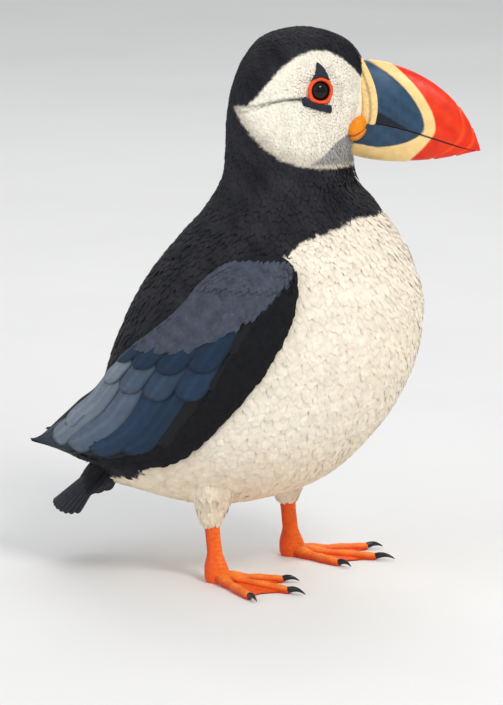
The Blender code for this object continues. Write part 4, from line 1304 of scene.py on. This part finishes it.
# From a plate's edge to its middle: share of its outline, height over the head
PLATE_DOME = ((1.0, -1.6), (1.0, 0.1), (0.94, 0.52), (0.86, 0.74), (0.7, 0.86), (0.45, 0.92), (0.15, 0.94))


def ball(rows, columns):
    """Unit sphere about the outward pole (0, 0, 1): its points, polar angles and angles round."""
    polar, turn = grid(np.linspace(0.03, math.pi - 0.03, rows), round_angles(columns))
    points = np.stack([np.sin(polar) * np.cos(turn), np.sin(polar) * np.sin(turn), np.cos(polar)], axis=-1)
    return points, polar, turn


def make_eye(name, material):
    """Eyeball with a raised cornea, black pupil, dark brown iris and darker rim."""
    points, polar, turn = ball(60, 64)
    radius = EYE_RADIUS * (1 + 0.045 * smooth_step(0.62, 0.35, polar))
    rings = placed(EYE_FRAMES[name], points * radius[..., None] + (EYE_DEPTH - 0.15) * UP)
    iris = smooth_step(0.34, 0.37, polar) * smooth_step(0.72, 0.62, polar)
    fibre = 0.75 + 0.35 * np.sin(turn * 36.0 + 5.0 * polar)
    shade = mix(PUPIL_BLACK, IRIS_BROWN * fibre[..., None], iris)
    put_tube(f"eyeball_{name}", rings, shade, material, "eye", f"eye_{name}")


def fall_terms(x, y):
    """Second and third powers of the places ahead and up, with their products."""
    return np.stack([x * x, x * y, y * y, x ** 3, y ** 3, x * x * y, x * y * y], axis=-1)


def head_fall(name, side):
    """How far the head's surface falls away from the eye's own plane, as a fitted sum of fall_terms."""
    axes, origin = EYE_FRAMES[name]
    place, angle = grid(np.linspace(0.9, 5.2, 60), side * np.linspace(0.3, 2.6, 60))
    local = (body(place, angle).reshape(-1, 3) - origin) @ axes
    x, y, z = local[(np.hypot(local[:, 0], local[:, 1]) < 12.5) & (local[:, 2] > -12)].T
    factors = np.linalg.lstsq(fall_terms(x, y), z, rcond=None)[0]
    return lambda x, y: fall_terms(x, y) @ factors


def make_eye_ring(name, material, fall):
    """Swollen, finely wrinkled ring of bare skin, drawn out to a point below on each side."""
    turn, tube = grid(round_angles(120), round_angles(20))
    degrees = np.degrees(turn)
    corner = 1.1 * (hump(degrees, 222.0, 16.0) + 0.7 * hump(degrees, 305.0, 16.0))
    wrinkles = np.sin(turn * 30.0)
    thick = EYE_RING_TUBE * (1.02 + 0.5 * corner + 0.07 * wrinkles)
    reach = EYE_RING_RADIUS - 0.15 + 0.5 * corner + thick * np.cos(tube)
    x, y = reach * np.cos(turn), reach * np.sin(turn)
    z = thick * np.sin(tube) * 0.95 + 0.75 * fall(x, y) - 0.1
    points = placed(EYE_FRAMES[name], np.stack([x, y, z], axis=-1)).reshape(-1, 3)
    faces = facing_out(points, [grid_faces(*turn.shape, round_rows=True, round_columns=True)])
    # Painted shade: the ring is darker on its inner side towards the eye and in the wrinkles' troughs.
    tone = 1 - 0.25 * (np.cos(tube) < -0.6) + 0.10 * wrinkles
    piece = put_mesh(f"eye_rim_{name}", points, faces, material, RING_RED * tone.reshape(-1, 1))
    declare(piece, "eye_ring", f"eye_ring_{name}")


def make_plate(name, kind, outline, material, fall):
    """Small domed horny plate following the head: rings shrinking from its outline to its middle."""
    corners = np.array(outline)
    share = np.linspace(0, len(corners), 96, endpoint=False)
    first = np.floor(share).astype(int)
    start, end = corners[first], np.roll(corners, -1, axis=0)[first]
    straight = start + (end - start) * (share - first)[:, None]
    smooth = spline(np.vstack([corners[-1:], corners, corners[:2]]), share)
    edge = straight + (smooth - straight) * PLATE_ROUNDING
    middle = edge.mean(0)
    inset, height = np.array(PLATE_DOME).T
    flat = middle + (edge - middle) * inset[:, None, None]
    z = fall(flat[..., 0], flat[..., 1]) + height[:, None]
    rings = placed(EYE_FRAMES[name], np.concatenate([flat, z[..., None]], axis=-1))
    shade = PLATE_SLATE * np.clip(1 + 0.2 * ripple(rings, 3.0), 0.7, 1.3)[..., None]
    put_tube(f"eye_{kind}_plate_{name}", rings, shade, material, "eye_plate", f"eye_{kind}_{name}")


def make_rosette(name, side, material):
    """Fleshy two-lobed rosette at the corner of the mouth, creased between its lobes and finely wrinkled."""
    points = ball(60, 90)[0]
    x, y, z = np.moveaxis(points, -1, 0)
    over = swung(points, GAPE_FOLD)[..., 1]
    crease = 1 - 0.45 * hump(over, -0.08, 0.12)
    notch = 1 - 0.14 * hump(over, -0.08, 0.16)
    wrinkle = 1 + 0.025 * np.sin(x * 34.0 + 3.0 * y) * smooth_step(0.0, 0.5, z)
    lobes = np.stack([x * notch, y * notch, z * crease * wrinkle], axis=-1) * GAPE_RADII
    rings = placed(head_frame(side, GAPE_CENTRE), swung(lobes, GAPE_TILT) + GAPE_OFFSET)
    # Painted shade: the rosette is darker in the crease between its lobes.
    shade = mix(GAPE_ORANGE, GAPE_CREASE_SHADE, smooth_step(1.0, 0.6, crease))
    put_tube(f"gape_rosette_{name}", rings, shade, material, "gape_skin", f"gape_{name}")


# ---------------------------------------------------------------- legs

SCUTES = 34.0
KNUCKLES = 3.2
WEB_FOLDS = 9
CLAW_CLEARANCE = 0.02


def make_shank(name, side, skin):
    """Scaled shank: ovals from the ankle to the sole, with raised scutes down the front and a flared foot.

    A scute's height is the root of a sine's size along the shank.
    """
    _, ankle, joint = leg_points(name, side)
    heading = math.radians(LEGS[name]["heading"])
    ahead = np.array([math.cos(heading), math.sin(heading), 0.0])
    sole = ankle[2] / (ankle[2] - joint[2])
    share, turn = grid(np.linspace(-0.12, sole, 130), round_angles(48))
    inside = np.clip(share, 0, 1)
    front = np.clip(np.cos(turn), 0, 1) ** 2
    scutes = np.abs(np.sin(share * SCUTES))
    flare = 0.95 * smooth_step(0.72, 1.22, share) - 0.5 * smooth_step(1.24, sole, share)
    long_ = np.cos(turn) * (between(SHANK_OVALS, inside) + flare + 0.16 * scutes ** 0.5 * front)
    wide = np.sin(turn) * (between(SHANK_OVALS, inside, 2) + flare) * (1.0 + 0.06 * np.sin(turn * 2 + 1.0))
    oval = long_[..., None] * ahead + wide[..., None] * np.cross(UP, ahead)
    rings = ankle + (joint - ankle) * share[..., None] + oval
    rings[..., 2] = np.maximum(rings[..., 2], SOLE_STEP * len(TOES))
    # Painted shade and light: the back of the shank is darker red, and the crests of the front scutes are
    # paler.
    shade = mix(LEG_ORANGE, LEG_RED, 0.85 * smooth_step(0.25, -0.8, np.cos(turn)))
    shade = mix(shade, LEG_PALE, 0.5 * front * scutes)
    put_tube(f"shank_skin_{name}", rings, shade, skin, "leg_skin", f"shank_{name}")


def toe_path(name, side, toe):
    """Middle line of a toe: level ahead, its height falling as the square of what is left."""
    length, splay, _ = TOES[toe]
    angle = math.radians(LEGS[name]["heading"] + side * splay)
    share = np.linspace(0, 1, 60)
    height = TOE_HEIGHT + TOE_ARCH * (1 - share) ** 2
    ahead = np.array([math.cos(angle), math.sin(angle), 0.0])
    return leg_points(name, side)[2] * LEVEL + ahead * (length * share)[:, None] + UP * height[:, None]


def knuckles(count):
    """Cosine wave along a toe, 1 at its knuckles."""
    return np.cos(np.linspace(0, 1, count) * 2 * math.pi * KNUCKLES)


def toe_skin(path, level):
    """Rings and colours of a toe: a tube with knuckles and fine folds, closed by a smaller last ring.

    Each toe's sole is a little higher than the one before, so that no two share a level.
    """
    share = np.linspace(0, 1, len(path))
    radius = graded(TOE_RADIUS, share) * (1 + 0.07 * knuckles(len(path)) + 0.02 * np.sin(share * 110))
    way = unit((path[-1] - path[0]) * LEVEL)
    rings = round_rings(path, radius, np.cross(UP, way), 0.95, 28)
    middle = rings[-1].mean(axis=0)
    rings = np.concatenate([rings, (middle + (rings[-1] - middle) * 0.6 + way * 0.7)[None]])
    rings[..., 2] = np.maximum(rings[..., 2], SOLE_STEP * level)
    # Painted light and shade: each toe is paler on top and on its knuckles, and red underneath.
    top = smooth_step(-0.2, 0.9, np.sin(round_angles(28)))
    return rings, mix(LEG_RED, LEG_PALE, top * (0.85 + 0.15 * knuckles(len(rings)))[:, None])


def web_skin(heel, tips):
    """Rings and colours of a web between two toes: a sine scallops its rim, its folds fade to the heel."""
    q, out = np.linspace(0, 1, 44), np.linspace(0.1, 1.0, 46)[:, None]
    ends = [heel + (tip * LEVEL - heel) * WEB_REACH for tip in tips]
    sag, folds = np.sin(math.pi * q), np.sin(math.pi * q * WEB_FOLDS)
    rim = (ends[0] + (ends[1] - ends[0]) * q[:, None] - heel) * (1 - WEB_SCALLOP * sag)[:, None]
    flat = heel + rim * out[..., None]
    height = WEB_THICKNESS + 0.5 + 1.6 * (1 - out) ** 2 - 0.45 * sag + 0.10 * folds * sag * out
    height = height * (1 - 0.35 * smooth_step(0.9, 1.0, out))
    rings = np.concatenate([flat + height[..., None] * UP, flat[:, ::-1] + WEB_LIFT * UP], axis=1)
    # Painted light and shade: the web is lighter on its folds' crests and darker in their troughs; redder
    # towards its rim.
    shade = mix(LEG_ORANGE * (1.0 + 0.10 * folds)[:, None], LEG_RED, 0.4 * smooth_step(0.75, 1.0, out))
    return rings, np.concatenate([shade, shade[:, ::-1]], axis=1)


def make_foot(name, side, skin, claw):
    """Webbed foot of one side: three toes and two webs as one piece, and three curved claws."""
    paths = {toe: toe_path(name, side, toe) for toe in TOES}
    for toe, path in paths.items():
        make_claw(f"{toe}_{name}", path, TOES[toe][2], claw)
    skins = [toe_skin(path, level) for level, path in enumerate(paths.values())]
    heel = leg_points(name, side)[2] * LEVEL
    for pair in (("outer", "middle"), ("middle", "inner")):
        skins.append(web_skin(heel, [paths[toe][-1] for toe in pair]))
    points, faces = joined([closed_tube(rings) for rings, _ in skins])
    colour = np.concatenate([capped(shade) for _, shade in skins])
    declare(put_mesh(f"foot_skin_{name}", points, faces, skin, colour), "leg_skin", f"foot_{name}")


def make_claw(toe, path, length, material):
    """Curved horn: a tube whose arch is a sine less a falling square and whose radius tapers to the tip."""
    way = unit((path[-1] - path[-2]) * LEVEL)
    share = np.linspace(0, 1, 34)
    start = path[-1] + UP * (CLAW_RISE - 0.35) - way * 0.3
    arch = CLAW_ARCH * np.sin(share * math.pi * 0.75) - CLAW_DROP * share ** 2
    centre = start + way * (length * share)[:, None] + arch[:, None] * UP
    radius = CLAW_RADIUS * (1 - CLAW_TAPER * share ** 1.4) * (1 + 0.015 * np.sin(share * 60.0))
    rings = round_rings(centre, radius, np.cross(UP, way), 0.86, 20)
    rings[..., 2] = np.maximum(rings[..., 2], CLAW_CLEARANCE)
    shade = np.broadcast_to(CLAW_BLACK * (0.8 + 0.5 * share)[:, None, None], rings.shape)
    put_tube(f"claw_horn_{toe}", rings, shade, material, "claw", f"claw_{toe}")


# ---------------------------------------------------------------- materials

# Mottle over every finish: patches a metre, lowest and highest brightness
MOTTLE = (260.0, 0.9, 1.08)
# Finishes: material, roughness range, pattern and its count, bump strength and height in mm, specular level.
# A pattern is barbs (count along a feather), scales or grain (cells a metre).
FINISHES = {
    "plumage": ("plumage", (0.62, 0.82), ("barbs", 46.0), (0.25, 0.12), 0.18),
    "quill": ("quill", (0.42, 0.58), ("barbs", 170.0), (0.3, 0.08), 0.22),
    "skin": ("skin_under_the_coat", (0.7, 0.85), ("grain", 900.0), (0.3, 0.2), 0.18),
    "horn": ("bill_horn", (0.3, 0.45), ("grain", 700.0), (0.12, 0.10), 0.3),
    "ridge": ("bill_ridge_skin", (0.38, 0.55), ("scales", 1500.0), (0.35, 0.15), 0.3),
    "gape": ("gape_skin", (0.36, 0.5), ("scales", 1300.0), (0.25, 0.12), 0.3),
    "eye": ("eye_wet", (0.05, 0.08), ("grain", 500.0), (0.02, 0.02), 0.3),
    "eye_ring": ("eye_ring_skin", (0.35, 0.5), ("scales", 2200.0), (0.3, 0.1), 0.3),
    "plate": ("eye_plate_horn", (0.4, 0.6), ("grain", 1500.0), (0.3, 0.12), 0.25),
    "leg": ("leg_skin", (0.34, 0.5), ("scales", 900.0), (0.45, 0.16), 0.3),
    "claw": ("claw_horn", (0.2, 0.34), ("grain", 900.0), (0.1, 0.05), 0.4),
}


def node(tree, kind, inputs=None, **settings):
    """A node with its settings, and values or links for its inputs."""
    made = tree.nodes.new(kind)
    for name, value in settings.items():
        setattr(made, name, value)
    for name, value in (inputs or {}).items():
        if isinstance(value, bpy.types.NodeSocket):
            tree.links.new(value, made.inputs[name])
        else:
            made.inputs[name].default_value = value
    return made


def new_group(name, inputs, outputs):
    """An empty node group with its inputs (name: default value, or None for a vector) and float outputs."""
    tree = bpy.data.node_groups.new(name, "ShaderNodeTree")
    for label, value in inputs.items():
        kind = "NodeSocketVector" if value is None else "NodeSocketFloat"
        socket = tree.interface.new_socket(label, in_out="INPUT", socket_type=kind)
        if value is not None:
            socket.default_value = value
    for label in outputs:
        tree.interface.new_socket(label, in_out="OUTPUT", socket_type="NodeSocketFloat")
    return tree, tree.nodes.new("NodeGroupInput").outputs, tree.nodes.new("NodeGroupOutput").inputs


def mottle_group():
    """Uneven value between Low and High over the object, at Scale patches a metre."""
    tree, given, out = new_group("mottle", {"Scale": 200.0, "Low": 0.9, "High": 1.1}, ["Value"])
    place = node(tree, "ShaderNodeTexCoord").outputs["Object"]
    noise = node(tree, "ShaderNodeTexNoise", {"Vector": place, "Scale": given["Scale"], "Detail": 4.0})
    limits = {"From Min": 0.3, "From Max": 0.7, "To Min": given["Low"], "To Max": given["High"]}
    spread = node(tree, "ShaderNodeMapRange", {"Value": noise.outputs["Fac"], **limits})
    tree.links.new(spread.outputs["Result"], out["Value"])
    return tree


def barb_group():
    """Height of barbs: the sine of Count times the place along a feather less the distance from its shaft."""
    tree, given, out = new_group("barbs", {"Vector": None, "Count": 60.0}, ["Height"])
    parts = node(tree, "ShaderNodeSeparateXYZ", {"Vector": given["Vector"]}).outputs

    def maths(operation, *values):
        return node(tree, "ShaderNodeMath", dict(enumerate(values)), operation=operation).outputs[0]

    aside = maths("ABSOLUTE", maths("SUBTRACT", parts["X"], 0.5))
    slant = maths("SUBTRACT", parts["Y"], aside)
    tree.links.new(maths("SINE", maths("MULTIPLY", slant, given["Count"])), out["Height"])
    return tree


def scale_group():
    """Cells of scaly skin or horn: Height falls towards their edges, Tone differs from cell to cell."""
    tree, given, out = new_group("scales", {"Scale": 900.0}, ["Height", "Tone"])
    cells = {"Vector": node(tree, "ShaderNodeTexCoord").outputs["Object"], "Scale": given["Scale"]}
    edge = node(tree, "ShaderNodeTexVoronoi", cells, feature="DISTANCE_TO_EDGE").outputs["Distance"]
    cell = node(tree, "ShaderNodeTexVoronoi", cells).outputs["Color"]
    value = node(tree, "ShaderNodeSeparateXYZ", {"Vector": cell}).outputs["X"]
    slope = {"Value": edge, "From Max": 0.22}
    rise = node(tree, "ShaderNodeMapRange", slope, interpolation_type="SMOOTHSTEP")
    tone = node(tree, "ShaderNodeMapRange", {"Value": value, "To Min": 0.9, "To Max": 1.08})
    tree.links.new(rise.outputs["Result"], out["Height"])
    tree.links.new(tone.outputs["Result"], out["Tone"])
    return tree


GROUPS = {"mottle": mottle_group(), "barbs": barb_group(), "scales": scale_group()}


def effect(tree, group, **inputs):
    """Outputs of a shared effect, placed in a material with its own values."""
    return node(tree, "ShaderNodeGroup", inputs, node_tree=GROUPS[group]).outputs


def painted(name):
    """A new material, its node tree and its shader's inputs."""
    material = bpy.data.materials.new(name)
    material.use_nodes = True
    return material, material.node_tree, material.node_tree.nodes["Principled BSDF"].inputs


def make_finish(name, roughness, pattern, bump, specular):
    """A painted finish: the piece's own tint, mottled, with uneven gloss and a bump of one pattern."""
    material, tree, shader = painted(name)
    scale, low, high = MOTTLE
    tint = node(tree, "ShaderNodeAttribute", attribute_name="tint").outputs["Color"]
    tone = effect(tree, "mottle", Scale=scale, Low=low, High=high)["Value"]
    kind, count = pattern
    if kind == "barbs":
        own = node(tree, "ShaderNodeUVMap", uv_map="vane").outputs["UV"]
        height = effect(tree, "barbs", Vector=own, Count=count)["Height"]
    elif kind == "scales":
        cells = effect(tree, "scales", Scale=count)
        height = cells["Height"]
        tone = node(tree, "ShaderNodeMath", {0: tone, 1: cells["Tone"]}, operation="MULTIPLY").outputs[0]
    else:
        height = effect(tree, "mottle", Scale=count, Low=0.0, High=1.0)["Value"]
    colour = node(tree, "ShaderNodeVectorMath", {0: tint, "Scale": tone}, operation="SCALE").outputs[0]
    gloss = effect(tree, "mottle", Scale=scale * 1.7, Low=roughness[0], High=roughness[1])["Value"]
    strength, distance = bump
    relief = node(tree, "ShaderNodeBump", {"Height": height, "Strength": strength, "Distance": distance * MM})
    for label, socket in (("Base Color", colour), ("Roughness", gloss), ("Normal", relief.outputs["Normal"])):
        tree.links.new(socket, shader[label])
    shader["Specular IOR Level"].default_value = specular
    return material


# ---------------------------------------------------------------- stage

VIEW_AZIMUTH = math.radians(15.0)
VIEW_ELEVATION = math.radians(11.0)
VIEW_DISTANCE = 1.9
VIEW_HEIGHT = 289.05 * MM
VIEW_OFFSET = (1.8 * MM, 88.8 * MM)
SENSOR = 24.0
FLOOR_HALF = 9000.0
FLOOR_SHADES = {"Scale": 6.0, "Low": 0.80, "High": 0.84}
LAMP_AIM = np.array([0.0, 0.0, 0.11])
# Lamps: azimuth, elevation, distance, size, power and tone
LAMPS = {
    "key_lamp": (50, 44, 1.5, 0.42, 10.5, (1.0, 0.97, 0.93)),
    "fill_lamp": (-45, 25, 1.6, 1.2, 4.0, (0.97, 0.98, 1.0)),
    "back_lamp": (190, 50, 1.5, 0.9, 5.5, (1.0, 1.0, 1.0)),
}


def put_in_scene(name, data, right, up, back, place):
    """A camera or lamp with its own axes and place."""
    thing = bpy.data.objects.new(name, data)
    bpy.context.scene.collection.objects.link(thing)
    axes = np.eye(4)
    axes[:3, 0], axes[:3, 1], axes[:3, 2], axes[:3, 3] = right, up, back, place
    thing.matrix_world = Matrix(axes.tolist())
    return thing


def make_camera():
    """Long-lens camera from the bird's right, a little in front and above."""
    az, el = VIEW_AZIMUTH, VIEW_ELEVATION
    right = np.array([math.cos(az), math.sin(az), 0.0])
    back = np.array([math.sin(az) * math.cos(el), -math.cos(az) * math.cos(el), math.sin(el)])
    up = np.cross(back, right)
    data = bpy.data.cameras.new("camera")
    data.sensor_fit, data.sensor_height, data.clip_start = "VERTICAL", SENSOR, 0.05
    data.lens = SENSOR * VIEW_DISTANCE / VIEW_HEIGHT
    aim = right * VIEW_OFFSET[0] + up * VIEW_OFFSET[1]
    bpy.context.scene.camera = put_in_scene("camera", data, right, up, back, aim + back * VIEW_DISTANCE)


def make_lamp(name, azimuth, elevation, distance, size, power, tone):
    """A soft square lamp aimed at the bird's middle, placed by angles round it."""
    az, el = math.radians(azimuth), math.radians(elevation)
    away = np.array([math.sin(az) * math.cos(el), -math.cos(az) * math.cos(el), math.sin(el)])
    data = bpy.data.lights.new(name, "AREA")
    data.shape, data.size, data.energy, data.color = "SQUARE", size, power, tone
    right = unit(np.cross(UP, away))
    put_in_scene(name, data, right, np.cross(away, right), away, LAMP_AIM + away * distance)


def make_floor():
    """A wide pale floor with the faintest mottle."""
    material, tree, shader = painted("floor_paint")
    pale = effect(tree, "mottle", **FLOOR_SHADES)["Value"]
    colour = node(tree, "ShaderNodeCombineColor", {"Red": pale, "Green": pale, "Blue": pale}).outputs[0]
    tree.links.new(colour, shader["Base Color"])
    shader["Roughness"].default_value = 0.7
    corners = np.array([(-1, -1, 0), (1, -1, 0), (1, 1, 0), (-1, 1, 0)]) * FLOOR_HALF - SHIFT
    put_mesh("floor", corners, [np.array([[0, 1, 2, 3]])], material)


def make_stage():
    """Pale floor, pale surroundings, three soft lamps, and display colours shown as they are."""
    bpy.context.scene.view_settings.view_transform = "Standard"
    make_floor()
    world = bpy.data.worlds.new("studio")
    bpy.context.scene.world = world
    world.use_nodes = True
    background = world.node_tree.nodes["Background"].inputs
    background["Color"].default_value = (0.98, 0.99, 1.0, 1.0)
    background["Strength"].default_value = 0.62
    for name, settings in LAMPS.items():
        make_lamp(name, *settings)


def main():
    """Everything that shows, round the fixed frame."""
    finish = {label: make_finish(*settings) for label, settings in FINISHES.items()}
    make_skin(finish["skin"])
    make_coat(finish["plumage"])
    make_thigh_coats(finish["plumage"])
    make_wings(finish["quill"], finish["plumage"])
    make_tail(finish["quill"])
    make_tail_coverts(finish["plumage"])
    make_bill(finish["horn"], finish["ridge"])
    for name, side in SIDES:
        fall = head_fall(name, side)
        make_eye(name, finish["eye"])
        make_eye_ring(name, finish["eye_ring"], fall)
        make_plate(name, "horn", HORN_OUTLINE, finish["plate"], fall)
        make_plate(name, "bar", BAR_OUTLINE, finish["plate"], fall)
        make_rosette(name, side, finish["gape"])
        make_shank(name, side, finish["leg"])
        make_foot(name, side, finish["leg"], finish["claw"])
    make_camera()
    make_stage()


main()
